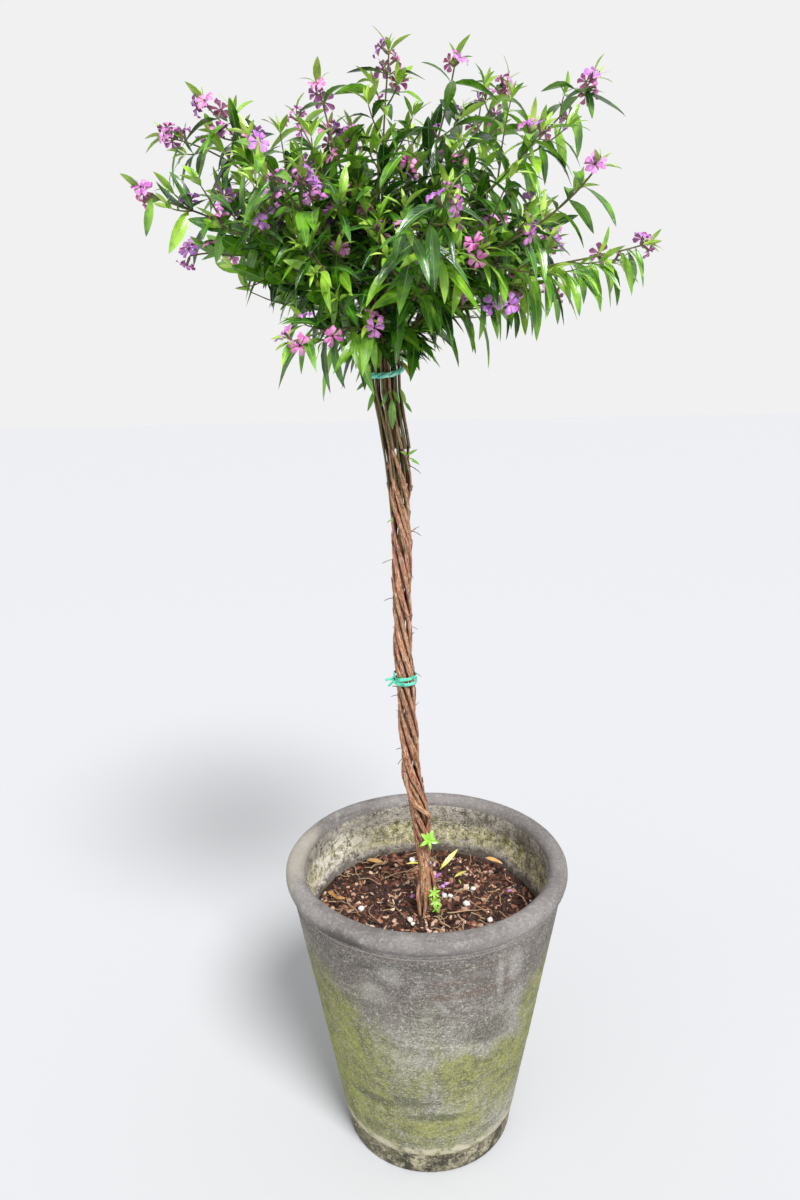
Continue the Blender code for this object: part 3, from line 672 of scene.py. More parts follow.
# for each tier: compass degrees, reach from the neck and rise above it
sweeps = {
    "low": (
        (14, 0.131, 0.043),
        (72, 0.118, 0.050),
        (138, 0.128, 0.066),
        (190, 0.130, 0.066),
        (236, 0.103, 0.014),
        (322, 0.106, 0.030),
    ),
    "outer": (
        (-5, 0.172, 0.074),
        (36, 0.160, 0.100),
        (104, 0.142, 0.104),
        (168, 0.150, 0.148),
        (204, 0.156, 0.100),
        (287, 0.132, 0.086),
    ),
    "mid": (
        (8, 0.141, 0.180),
        (44, 0.128, 0.196),
        (124, 0.112, 0.178),
        (178, 0.113, 0.166),
        (230, 0.112, 0.128),
        (326, 0.147, 0.111),
    ),
    "top": (
        (35, 0.061, 0.196),
        (150, 0.046, 0.182),
        (300, 0.016, 0.190),
    ),
}


def onLean(height):
    stations = stand["lean"]
    k = 0
    while k < len(stations) - 2 and height > stations[k + 1][0]:
        k += 1
    low, high = stations[k], stations[k + 1]
    t = min(max((height - low[0]) / (high[0] - low[0]), 0.0), 1.0)
    t = t * t * (3 - 2 * t) * 0.5 + t * 0.5
    return np.array([low[1] + (high[1] - low[1]) * t, low[2] + (high[2] - low[2]) * t, height])


def stemAxis(index, height):
    own = stand["girths"][index]
    if index == stand["stemCount"]:
        return onLean(height)
    loose = ease(height, stand["stemTop"] - 0.05, stand["stemTop"])
    reach = stand["braidReach"] + (stand["braidLoose"] - stand["braidReach"]) * loose
    flare = 1.0 - ease(height, stand["soilLevel"], stand["soilLevel"] + stand["flareHeight"])
    ring = reach + stand["flareSpread"] * flare - stand["stemRadius"] * own
    turn = 360 * index / stand["stemCount"] - 360 * (height - stand["stemTop"]) / stand["braidTurn"]
    return onLean(height) + ring * compass(turn)


def stemRadius(index, height):
    own = stand["girths"][index]
    flare = 1.0 - ease(height, stand["soilLevel"], stand["soilLevel"] + stand["flareHeight"])
    taper = 1.06 - 0.12 * ease(height, stand["soilLevel"], stand["stemTop"])
    return stand["stemRadius"] * own * taper * (1.0 + (stand["footFlare"] - 1.0) * flare)


def slotOf(tier, index):
    if tier == "outer":
        return 60 * index - 15, stand["outerRing"]
    if tier == "low":
        return 60 * index + 15, stand["outerRing"]
    if tier == "mid":
        return 60 * index, stand["innerRing"]
    return 30 + 120 * index, stand["coreRing"]


def limbOf(tier, index):
    azimuth, reach, rise = sweeps[tier][index]
    startLift, endLift, share = tiers[tier]
    slot, ring = slotOf(tier, index)
    neck = onLean(stand["neckHeight"]) + ring * compass(slot)
    stem = stand["stemCount"] if tier == "top" else index
    foot = stemAxis(stem, stand["stemTop"])
    if tier == "top":
        foot = foot + stand["coreRing"] * compass(slot)
    else:
        turn = {"outer": -60, "low": 60, "mid": 180}[tier]
        foot = foot + stand["topSpread"] * compass(60 * index + turn)
    low = neck - up * stand["neckHold"]
    high = neck + up * stand["neckHold"]
    lead = compass(azimuth)
    leave = compass(slot) * math.cos(math.radians(startLift)) + up * math.sin(math.radians(startLift))
    arrive = lead * math.cos(math.radians(endLift)) + up * math.sin(math.radians(endLift))
    tip = onLean(stand["neckHeight"]) + lead * reach + up * rise - arrive * stand["overhang"]
    span = float(np.linalg.norm(tip - high))
    sweep = bezier(high, high + leave * span * 0.36, tip - arrive * span * 0.40, tip, 25)
    return {
        "name": f"{tier}_{index + 1}",
        "tier": tier,
        "below": [foot, foot * 0.4 + low * 0.6, low],
        "sweep": sweep,
        "share": share,
    }


def limbTree():
    # sweeps a ring along each run of edges and raises bark ridges on it
    inputs = {"Paths": "Geometry", "Sides": "Int", "Bark": "Material"}
    inputs.update({"Ridge depth": "Float", "Ridge detail": "Float", "Ridge length": "Float"})
    tree, given = newTree("limbAlongPath", inputs, "Limbs")
    curves = put(tree, "GeometryNodeMeshToCurve", {0: given["Paths"]}).outputs[0]
    links = {"Resolution": given["Sides"], "Radius": 1.0}
    ring = put(tree, "GeometryNodeCurvePrimitiveCircle", links).outputs[0]
    angle = times(tree, put(tree, "GeometryNodeSplineParameter").outputs["Factor"], math.tau)
    ringSpot = {0: calc(tree, "COSINE", angle), 1: calc(tree, "SINE", angle)}
    ring = stored(tree, ring, "ringSpot", put(tree, "ShaderNodeCombineXYZ", ringSpot).outputs[0])
    links = {"Curve": curves, "Profile Curve": ring, "Scale": named(tree, "girth"), "Fill Caps": True}
    shape = put(tree, "GeometryNodeCurveToMesh", links).outputs[0]
    # bark runs round the limb and along it, and starts elsewhere on each limb
    spot = named(tree, "ringSpot", "FLOAT_VECTOR")
    around = vectorMath(tree, "SCALE", {0: spot, "Scale": given["Ridge detail"]})[0]
    way = calc(tree, "DIVIDE", named(tree, "way"), given["Ridge length"])
    way = plus(tree, way, times(tree, named(tree, "own"), 53.0))
    way = put(tree, "ShaderNodeCombineXYZ", {2: way}).outputs[0]
    barkPlace = vectorMath(tree, "ADD", {0: around, 1: way})[0]
    shape = stored(tree, shape, "barkPlace", barkPlace)
    links = {"Vector": barkPlace, "Scale": 1.0, "Detail": 3.0, "Roughness": 0.6}
    height = sway(tree, put(tree, "ShaderNodeTexNoise", links).outputs[0], given["Ridge depth"])
    normal = put(tree, "GeometryNodeInputNormal").outputs[0]
    offset = vectorMath(tree, "SCALE", {0: normal, "Scale": height})[0]
    shape = put(tree, "GeometryNodeSetPosition", {"Geometry": shape, "Offset": offset}).outputs[0]
    shape = put(tree, "GeometryNodeSetShadeSmooth", {0: shape}).outputs[0]
    return endTree(tree, shape, given["Bark"])


def socketNamed(tree, name):
    items = tree.interface.items_tree
    return next(item.identifier for item in items if item.name == name and item.in_out == "INPUT")


def grownMesh(name, holder, tree, inputs):
    # evaluates a node tree on an object once and keeps the result as a plain mesh
    modifier = holder.modifiers.new("grow", "NODES")
    modifier.node_group = tree
    for key, value in inputs.items():
        modifier[socketNamed(tree, key)] = value
    bpy.context.view_layer.update()
    graph = bpy.context.evaluated_depsgraph_get()
    mesh = bpy.data.meshes.new_from_object(holder.evaluated_get(graph))
    mesh.name = name
    bpy.data.objects.remove(holder, do_unlink=True)
    return linked(name, mesh)


def sweptPiece(name, paths, tree, material, sides, depth, detail=2.2, length=0.012):
    # paths: points, radii, own number and, if it has joints, how near each point is to one
    verts = []
    edges = []
    marks = {"girth": [], "way": [], "own": [], "joint": []}
    for points, radii, own, *joints in paths:
        marks["joint"] += joints[0] if joints else [0.0] * len(points)
        base = len(verts)
        distance = 0.0
        for k, point in enumerate(points):
            if k:
                distance += float(np.linalg.norm(point - points[k - 1]))
                edges.append((base + k - 1, base + k))
            verts.append(tuple(point))
            marks["girth"].append(float(radii[k]))
            marks["way"].append(distance)
            marks["own"].append(own)
    mesh = bpy.data.meshes.new(name + "Paths")
    mesh.from_pydata(verts, edges, [])
    for key, values in marks.items():
        mesh.attributes.new(key, "FLOAT", "POINT").data.foreach_set("value", values)
    inputs = {"Sides": sides, "Bark": material}
    inputs.update({"Ridge depth": depth, "Ridge detail": detail, "Ridge length": length})
    return grownMesh(name, linked(name + "Paths", mesh), tree, inputs)


def marked(tree, name, output="Fac"):
    return put(tree, "ShaderNodeAttribute", attribute_name=name).outputs[output]


def barkMaterial(name, deep, warm, pale, straw, strawShare=0.5, greenShare=0.0):
    made, tree, _ = newMaterial(name, 0.66)
    spot = marked(tree, "barkPlace", "Vector")
    own = marked(tree, "own")
    # each stem leans to red or to straw, in long stretches
    lean = plus(tree, times(tree, own, 0.55), times(tree, grain(tree, spot, 0.35, 2), 0.9))
    body = glaze(tree, warm, between(tree, lean, 0.60, 0.95), strawShare, straw)
    strips = grain(tree, spot, 1.3, 4, 0.65)
    tone = blendTones(tree, between(tree, strips, 0.36, 0.54), deep, body)
    # pale peeling skin, partly a painted highlight, and dark streaks painted as shade in creases
    rows = (
        ((2.1, 5, 0.80, even, (3, 1, 2)), 0.49, 0.57, 0.85, pale),
        ((3.4, 4, 0.75, even, (7, 5, 2)), 0.53, 0.61, 0.82, shadeOf(deep, 0.32)),
    )
    tone = washes(tree, spot, tone, rows)
    if greenShare:
        green = plus(tree, grain(tree, spot, 0.5, 3), times(tree, own, 0.35))
        green = between(tree, green, 0.62 - greenShare * 0.3, 0.80 - greenShare * 0.3)
        tone = glaze(tree, tone, green, 0.85, (0.110, 0.125, 0.028))
    tone = glaze(tree, tone, marked(tree, "joint"), 0.40, (0.620, 0.450, 0.300))
    # painted shade in the gaps between the strands
    tone = glaze(tree, tone, marked(tree, "paintedGapShade"), 0.88, shadeOf(deep, 0.25))
    return finished(made, tone, plus(tree, strips, grain(tree, spot, 4.0, 3, 0.7)), 0.8, 0.0009)


braid = {
    "seed": 58,
    "sides": 18,
    "rings": 230,
    "stray": 0.0013,
    "swell": 0.30,
    "footTight": 0.42,
    "footSpan": (0.205, 0.262),
    "ridgeDepth": 0.0011,
    "jointEvery": 0.031,
    "jointWidth": (0.0003, 0.0014),
    "peelings": 90,
    "peelLength": (0.004, 0.012),
    "peelRadius": (0.00022, 0.00042),
    "whiskers": 26,
    "whiskerLength": (0.003, 0.010),
    "whiskerRadius": (0.00022, 0.00010),
    "bitHeights": (0.225, 0.515),
    # from dark, which also gives the painted shade, through the body of the bark to its peeling skin, partly a
    # painted highlight, then straw
    "tones": ((0.075, 0.016, 0.009), (0.500, 0.165, 0.078), (0.980, 0.660, 0.450), (0.600, 0.360, 0.135)),
    # thin late shoots wound over it: from, to, start in degrees, height of a turn, girth
    "lateShoots": (
        (0.235, 0.395, 40, 0.152, 0.00105),
        (0.262, 0.520, 200, 0.118, 0.00120),
        (0.330, 0.522, 310, 0.141, 0.00095),
        (0.215, 0.330, 250, 0.115, 0.0011),
    ),
}
# stout old stem at the foot, the stem that crosses in front above it and three roots:
# points, girths and own number
footStems = (
    (
        (
            (-0.0004, 0.0, 0.178),
            (-0.0012, -0.0005, 0.196),
            (-0.0012, 0.0, 0.214),
            (-0.0022, 0.0012, 0.232),
            (-0.0046, 0.0020, 0.252),
        ),
        (0.0050, 0.0046, 0.0041, 0.0034, 0.0022),
        0.95,
    ),
    (
        (
            (-0.0146, -0.0052, 0.296),
            (-0.0118, -0.0068, 0.281),
            (-0.0076, -0.0072, 0.272),
            (-0.0024, -0.0068, 0.266),
            (0.0014, -0.0050, 0.2615),
            (0.0018, -0.0022, 0.256),
            (0.0006, 0.0004, 0.246),
            (-0.0004, 0.0020, 0.232),
        ),
        (0.0016, 0.0018, 0.0020, 0.0021, 0.0021, 0.0018, 0.0017, 0.0015),
        0.60,
    ),
    (
        (
            (-0.0052, -0.0030, 0.204),
            (-0.0066, -0.0056, 0.196),
            (-0.0058, -0.0078, 0.188),
            (-0.0050, -0.0088, 0.179),
        ),
        (0.0011, 0.0016, 0.0015, 0.0011),
        0.40,
    ),
    (
        (
            (-0.0012, -0.0040, 0.197),
            (-0.0010, -0.0078, 0.192),
            (-0.0018, -0.0106, 0.186),
            (-0.0030, -0.0126, 0.179),
        ),
        (0.0016, 0.0014, 0.0012, 0.0010),
        0.80,
    ),
    (
        (
            (0.0024, 0.0020, 0.214),
            (0.0052, 0.0014, 0.202),
            (0.0064, -0.0002, 0.190),
            (0.0066, -0.0010, 0.179),
        ),
        (0.0014, 0.0017, 0.0016, 0.0015),
        0.30,
    ),
)


def jointMarks(points, first):
    # 1 on each joint ring of a stem and 0 away from it
    marks = []
    distance = first
    for k, point in enumerate(points):
        if k:
            distance += float(np.linalg.norm(point - points[k - 1]))
        off = abs((distance / braid["jointEvery"]) % 1.0 - 0.5) * braid["jointEvery"]
        marks.append(1.0 - ease(off, *braid["jointWidth"]))
    return marks


def smoothRun(stations, girths, count):
    # points and girths evened out along a few given ones
    stations = [np.array(station) for station in stations]
    padded = [stations[0], *stations, stations[-1]]
    points = []
    radii = []
    for k in range(count):
        t = k / (count - 1) * (len(stations) - 1)
        i = min(int(t), len(stations) - 2)
        t -= i
        a, b, c, d = padded[i : i + 4]
        second, third = 2 * a - 5 * b + 4 * c - d, 3 * b - a - 3 * c + d
        points.append(0.5 * (2 * b + (c - a) * t + second * t * t + third * t**3))
        radii.append(girths[i] + (girths[i + 1] - girths[i]) * t)
    return points, radii


def paintGapShade(piece):
    # painted shade: how far each spot of the bark faces inwards, where the gaps between the strands are
    # darkened
    mesh = piece.data
    places = np.empty(len(mesh.vertices) * 3)
    normals = np.empty(len(mesh.vertices) * 3)
    mesh.vertices.foreach_get("co", places)
    mesh.vertices.foreach_get("normal", normals)
    places = places.reshape(-1, 3)
    levels = np.linspace(0.17, 0.80, 300)
    middles = np.array([onLean(level) for level in levels])
    out = np.stack([places[:, k] - np.interp(places[:, 2], levels, middles[:, k]) for k in (0, 1)], axis=1)
    out /= np.maximum(np.linalg.norm(out, axis=1, keepdims=True), 1e-6)
    facing = (out * normals.reshape(-1, 3)[:, :2]).sum(axis=1)
    below = 1 - np.clip((places[:, 2] - 0.588) / 0.02, 0, 1)
    gapShades = np.clip((0.72 - facing) / 0.62, 0, 1) * below
    mesh.attributes.new("paintedGapShade", "FLOAT", "POINT").data.foreach_set("value", gapShades.astype(np.float32))


def braidStem(index, z):
    # a braided stem's middle, closer together and less even than in the solids
    middle = onLean(z)
    out = stemAxis(index, z) - middle
    closer = braid["footTight"] * (1 - ease(z, *braid["footSpan"]))
    tight = 1.0 - closer + 0.16 * wander((0, 0, z), 26, index * 2.2 + 9)
    free = ease(z, stand["soilLevel"], 0.21) * (1 - ease(z, 0.50, stand["stemTop"]))
    tight = 1.0 + (tight - 1.0) * (1 - ease(z, 0.49, stand["stemTop"]))
    aside = np.array([wander((0, 0, z), 34, index * 5.1), wander((0, 0, z), 34, index * 5.1 + 40), 0.0])
    return middle + out * tight + free * braid["stray"] * aside


def lateShoot(index, low, high, start, turn, girth):
    points = []
    radii = []
    for z in np.linspace(low, high, 110):
        end = min(ease(z, low, low + 0.012), 1 - ease(z, high - 0.012, high))
        ring = (stand["braidReach"] - 0.0014) * (1.0 - 0.3 * (1 - ease(z, *braid["footSpan"]))) + 0.0010 * end
        spot = start - 360 * (z - low) / turn + 16 * wander((0, 0, z), 30, index)
        points.append(onLean(z) + ring * compass(spot))
        radii.append(girth * (0.6 + 0.4 * end))
    return points, radii, 0.13 + index * 0.21, jointMarks(points, index * 0.009)


def looseBit(luck, whisker):
    # a strip of bark peeling off, or a stray whisker
    index = luck.randrange(stand["stemCount"])
    z = luck.uniform(*braid["bitHeights"])
    middle = onLean(z)
    out = unit((braidStem(index, z) - middle) * flat)
    start = braidStem(index, z) + out * stemRadius(index, z) * 0.85
    if whisker:
        lead = unit(out + up * luck.uniform(-0.7, 0.7) + sideOf(out, luck.uniform(0, 6.28)) * 0.6)
        span = luck.uniform(*braid["whiskerLength"])
        points = [start + lead * span * k / 6 - up * span * 0.25 * (k / 6) ** 2 for k in range(7)]
        return points, np.linspace(*braid["whiskerRadius"], 7), luck.random()
    span = luck.uniform(*braid["peelLength"])
    points = []
    for k in range(7):
        level = z + span * k / 6
        base = braidStem(index, level)
        away = unit((base - onLean(level)) * flat)
        lift = 0.00012 + 0.0009 * max(k / 6 - 0.45, 0.0) * luck.uniform(0.4, 1.0)
        points.append(base + away * (stemRadius(index, level) + lift))
    thick = luck.uniform(*braid["peelRadius"])
    return points, [thick * 0.5] + [thick] * 5 + [thick * 0.4], luck.random()


def makeBraid(tree):
    bark = barkMaterial("reddishBark", *braid["tones"])
    luck = random.Random(braid["seed"])
    paths = []
    heights = np.linspace(stand["soilLevel"] - 0.004, stand["stemTop"], braid["rings"])
    for index in range(stand["stemCount"] + 1):
        points = [braidStem(index, z) for z in heights]
        marks = jointMarks(points, index * 0.0137)
        radii = []
        for z, mark in zip(heights, marks):
            swell = 1.0 + braid["swell"] * wander((0, 0, z), 52, index * 3.3) + 0.20 * mark
            thinned = 1.0 - 0.50 * ease(z, stand["stemTop"] - 0.032, stand["stemTop"])
            radii.append(stemRadius(index, z) * swell * thinned * (1.0 if index % 2 else 1.12))
        paths.append((points, radii, index / 7, marks))
    paths += [lateShoot(index, *row) for index, row in enumerate(braid["lateShoots"])]
    for stations, girths, own in footStems:
        points, radii = smoothRun(stations, girths, 42)
        radii = [r * (1 + 0.12 * wander(p, 90, own * 7)) for p, r in zip(points, radii)]
        paths.append((points, radii, own, jointMarks(points, own)))
    for number in range(braid["peelings"] + braid["whiskers"]):
        paths.append(looseBit(luck, number >= braid["peelings"]))
    made = sweptPiece("braidedStems", paths, tree, bark, braid["sides"], braid["ridgeDepth"], 2.0, 0.010)
    paintGapShade(made)
    settle(made, "bark", *[f"stem_{k + 1}" for k in range(stand["stemCount"] + 1)])
    print("braid made:", len(made.data.polygons), "faces")


neck = {
    "seed": 41,
    "radius": 0.00108,
    "tipRadius": 0.00085,
    "sides": 10,
    "strayShoots": 16,
    "ridgeDepth": 0.00035,
    "tones": ((0.100, 0.036, 0.020), (0.400, 0.180, 0.090), (0.760, 0.540, 0.340), (0.460, 0.340, 0.130)),
}


def strayShoot(luck, index):
    # a thin shoot from the braid up through the tie
    middle = onLean(stand["neckHeight"])
    turn = 360 * index / neck["strayShoots"] + luck.uniform(-8, 8)
    foot = onLean(luck.uniform(0.455, 0.515))
    outward = compass(turn)
    start = foot + outward * luck.uniform(0.0046, 0.0062)
    ring = luck.choice((0.0066, 0.0070, 0.0096))
    knee = middle - up * 0.012 + compass(turn + luck.uniform(15, 40)) * ring
    over = middle + up * 0.012 + compass(turn + luck.uniform(25, 50)) * ring
    end = over + up * luck.uniform(0.012, 0.03) + outward * luck.uniform(0.004, 0.016)
    points = [*bezier(start, start + up * 0.02 + outward * 0.001, knee - up * 0.02, knee, 10), over, end]
    return points, np.linspace(0.00085, 0.0005, len(points)), luck.random()


def makeBoughs(limbs, tree):
    bark = barkMaterial("youngBark", *neck["tones"], 0.7, 0.16)
    paths = []
    for index, limb in enumerate(limbs):
        sweep = limb["sweep"]
        split = runLength(sweep) * limb["share"]
        low, middle, high = limb["below"]
        points = [low + (middle - low) * k / 5 for k in range(5)]
        points += [middle + (high - middle) * k / 4 for k in range(4)]
        for k in range(1, len(points)):
            point = points[k]
            points[k] = point + 0.0005 * np.array([wander(point, 90, index), wander(point, 90, index + 30), 0])
        points += [along(sweep, split * k / 7)[0] for k in range(8)]
        radii = np.linspace(neck["radius"], neck["tipRadius"], len(points))
        paths.append((points, radii, (index * 0.37) % 1.0))
    luck = random.Random(neck["seed"])
    paths += [strayShoot(luck, index) for index in range(neck["strayShoots"])]
    made = sweptPiece("neckShoots", paths, tree, bark, neck["sides"], neck["ridgeDepth"], 1.6, 0.008)
    paintGapShade(made)
    settle(made, "young_bark", *["bough_" + limb["name"] for limb in limbs])
    print("boughs made:", len(made.data.polygons), "faces")


ties = {
    "stemTie": 0.366,
    "stemTurns": 2,
    "stemRise": 0.0032,
    "tapeWidth": 0.0027,
    "tapeThick": 0.0008,
    "tapeSteps": 120,
    # width and thickness of the ends, the knot and the neck band
    "endTape": (0.0019, 0.0007),
    "knotTape": (0.0022, 0.0009),
    "neckTape": (0.0027, 0.0012),
    "neckTilt": -10,
    "neckFrontDrop": 0.26,
    "greenTones": ((0.050, 0.400, 0.260), (0.140, 0.680, 0.480)),
    # the neck tie's tones: the same tape as the stem tie, made lighter as painted light where the crown shades
    # it
    "litCopyTieTones": ((0.150, 0.620, 0.480), (0.380, 0.900, 0.740)),
    # the two ends of the knot: where they reach, and how they bend
    "ends": (((-0.006, -0.0045, 0.0010), 0.5), ((-0.0042, -0.0035, -0.0034), -0.4)),
}


def tieMaterial(name, dark, light):
    made, tree, place = newMaterial(name, 0.42)
    tone = blendTones(tree, speckle(tree, place, 0.40, 0.62, 180, 3, 0.6), dark, light)
    worn = speckle(tree, place, 0.60, 0.72, 600, 3, 0.7)
    tone = glaze(tree, tone, worn, 0.4, tuple(c * 0.6 + 0.3 for c in light))
    return finished(made, tone, grain(tree, place, 500, 3, 0.7), 0.3, 0.0004)


def tapePiece(name, points, outs, widths, thick, material):
    # a flat band with rounded edges along its points; outs point away from the stems
    verts = []
    halves = ((1, 0), (0.86, 0.8), (0.3, 1), (-0.3, 1), (-0.86, 0.8))
    corners = halves + tuple((-a, -b) for a, b in halves)
    count = len(corners)
    for k, point in enumerate(points):
        ahead = unit(points[min(k + 1, len(points) - 1)] - points[max(k - 1, 0)])
        across = unit(np.cross(outs[k], ahead))
        out = unit(np.cross(ahead, across))
        for a, b in corners:
            verts.append(point + across * a * widths[k] / 2 + out * b * thick / 2)
    faces = ringQuads(len(points), count)
    faces.append(tuple(range(count))[::-1])
    faces.append(tuple(range((len(points) - 1) * count, len(points) * count)))
    made = meshPiece(name, verts, faces, [material])
    tidyNormals(made)
    return made


def tidyNormals(piece):
    bm = bmesh.new()
    bm.from_mesh(piece.data)
    bmesh.ops.remove_doubles(bm, verts=bm.verts, dist=1e-6)
    bmesh.ops.recalc_face_normals(bm, faces=bm.faces)
    bm.to_mesh(piece.data)
    bm.free()


def joined(name, parts):
    # one mesh out of several, for pieces of one finish
    bm = bmesh.new()
    for part in parts:
        bm.from_mesh(part.data)
    mesh = bpy.data.meshes.new(name)
    bm.to_mesh(mesh)
    bm.free()
    for material in parts[0].data.materials:
        mesh.materials.append(material)
    mesh.shade_smooth()
    for part in parts:
        bpy.data.objects.remove(part, do_unlink=True)
    return linked(name, mesh)


def makeStemTie():
    green = tieMaterial("greenTie", *ties["greenTones"])
    reach = stand["braidReach"] + 0.0013
    points = []
    outs = []
    steps = ties["tapeSteps"]
    for step in range(steps + 1):
        share = step / steps - 0.5
        angle = 200 + 360 * ties["stemTurns"] * share
        z = ties["stemTie"] + share * ties["stemTurns"] * ties["stemRise"]
        z += 0.0005 * math.sin(math.radians(angle * 1.5))
        out = compass(angle)
        points.append(onLean(z) + out * (reach + 0.0003 * math.sin(step * 0.7)))
        outs.append(out)
    wide = [ties["tapeWidth"] * (1 + 0.15 * math.sin(step * 0.31)) for step in range(steps + 1)]
    parts = [tapePiece("bandTurns", points, outs, wide, ties["tapeThick"], green)]
    # the knot and its two short ends on the left
    knotPlace = onLean(ties["stemTie"]) + compass(204) * (reach + 0.0008)
    width, thick = ties["endTape"]
    for end, bend in ties["ends"]:
        bow = up * 0.0012 * bend
        line = [knotPlace + np.array(end) * t + bow * math.sin(t * math.pi) for t in np.linspace(0, 1, 9)]
        outs = [np.array([0.3, -1.0, 0.3 * bend])] * 9
        parts.append(tapePiece("bandEnd", line, outs, [width] * 9, thick, green))
    outs = [np.array([math.cos(angle), 0.0, math.sin(angle)]) for angle in np.linspace(0, math.tau, 17)]
    loop = [knotPlace + out * np.array([0.0012, 0.0, 0.0024]) + np.array([0.0, -0.0008, 0.0]) for out in outs]
    width, thick = ties["knotTape"]
    parts.append(tapePiece("bandKnot", loop, outs, [width] * 17, thick, green))
    settle(joined("stemTie", parts), "soft_tie", "stem_tie")


def makeNeckTie():
    # a twisted band round the neck, lower in front
    # painted light: a lighter copy of the tie's colour for the band in the crown's shade
    pale = tieMaterial("litCopyTie", *ties["litCopyTieTones"])
    radius = stand["outerRing"] + 0.00105 + 0.0016
    tilt = math.radians(ties["neckTilt"])
    middle = onLean(stand["neckHeight"])
    width, thick = ties["neckTape"]
    parts = []
    for strand in range(2):
        points = []
        outs = []
        for step in range(97):
            angle = 360 * step / 96
            out = compass(angle)
            roll = math.radians(angle * 6 + strand * 180)
            spot = out * (radius + 0.0002 + 0.0007 * math.cos(roll))
            spot = spot + up * (0.00105 * math.sin(roll) + 0.0005 * math.sin(math.radians(angle * 2)))
            spot = spot - up * math.tan(tilt) * spot[0] + up * ties["neckFrontDrop"] * spot[1]
            points.append(middle + spot)
            outs.append(unit(out * math.cos(roll) + up * math.sin(roll)))
        parts.append(tapePiece("neckBand", points[:-1] + [points[0]], outs, [width] * 97, thick, pale))
    settle(joined("neckTie", parts), "soft_tie", "neck_tie")
    print("ties made")


growth = {
    "seed": 8449,
    "neckSeed": 23,
    "fallenSeed": 29,
    "boxSlack": 0.022,
    "pairStep": 0.0166,
    "twigPairStep": 0.0138,
    "leafLength": 0.0325,
    "leafWidth": 0.0076,
    "twigShare": 0.46,
    "twigShortest": 0.014,
    "twigLongest": 0.056,
    "twigChance": 0.92,
    "smallTwigChance": 0.30,
    "tipFlowers": 0.40,
    "shootRadius": 0.00088,
    "twigRadius": 0.00062,
    "neckLeaves": 0.010,
    # size of a leaf against the full length: along a twig, last on it, on a small twig, tuft and tip of a shoot
    "pairLeaf": 0.98,
    "lastLeaf": 0.80,
    "smallTwigLeaf": 0.86,
    "tuftLeaf": 0.54,
    "tuftStep": 0.18,
    "tipLeaf": 0.34,
    # how far leaves sink from their lead
    "droop": {"low": 1.30, "outer": 0.98, "mid": 0.74, "top": 0.46},
    # from and to, for each leaf's own width, bend, fold, twist and wave
    "leafLuck": ((0.85, 1.15), (0.04, 0.26), (0.10, 0.42), (-0.5, 0.5), (0, 6.28)),
    "twigTones": ((0.120, 0.070, 0.030), (0.250, 0.170, 0.070), (0.380, 0.320, 0.150), (0.240, 0.250, 0.080)),
}
# how far the twigs of some shoots thin out towards their tips; the rest keep half
bareness = {
    "outer_1": 0.12,
    "mid_1": 0.34,
    "mid_2": 0.38,
    "low_1": 0.16,
    "low_6": 0.26,
    "outer_4": 0.35,
    "mid_4": 0.40,
    "low_4": 0.35,
    "mid_6": 0.30,
}
# half width of a leaf along its length
leafOutline = ((0.0, 0.10), (0.08, 0.26), (0.22, 0.72), (0.42, 1.0), (0.62, 0.93), (0.80, 0.62), (0.93, 0.26))
# dark and light ends of each leaf tone; the deepest is painted shade, dealt mostly to leaves deep inside the
# crown
leafTones = {
    "deepLeaf": ((0.005, 0.044, 0.002), (0.055, 0.205, 0.006)),
    "darkLeaf": ((0.022, 0.110, 0.003), (0.140, 0.365, 0.012)),
    "midLeaf": ((0.055, 0.200, 0.005), (0.230, 0.500, 0.026)),
    "freshLeaf": ((0.140, 0.350, 0.010), (0.350, 0.620, 0.050)),
    "youngLeaf": ((0.240, 0.450, 0.024), (0.500, 0.720, 0.110)),
}
# no leaf hangs below a cone that opens upwards from the tie: radius at the tie, how fast it widens, what
# share of that it keeps low on the right, and the shoots that it leaves alone
skirt = {
    "radius": 0.024,
    "widens": 1.22,
    "rightShare": 0.66,
    "luck": 0.010,
    "seed": 19,
    "free": ("low_5", "outer_1", "outer_6", "mid_6"),
}
# leaves that hang from the long shoots, most of them on the right
hanging = (
    {"limb": "outer_1", "from": 0.42, "count": 11, "length": 0.0250},
    {"limb": "mid_1", "from": 0.50, "count": 8, "length": 0.0290},
    {"limb": "mid_2", "from": 0.55, "count": 6, "length": 0.0280},
    {"limb": "outer_2", "from": 0.50, "count": 6, "length": 0.0270},
    {"limb": "outer_5", "from": 0.60, "count": 4, "length": 0.0260},
    {"limb": "low_1", "from": 0.60, "count": 4, "length": 0.0260},
)
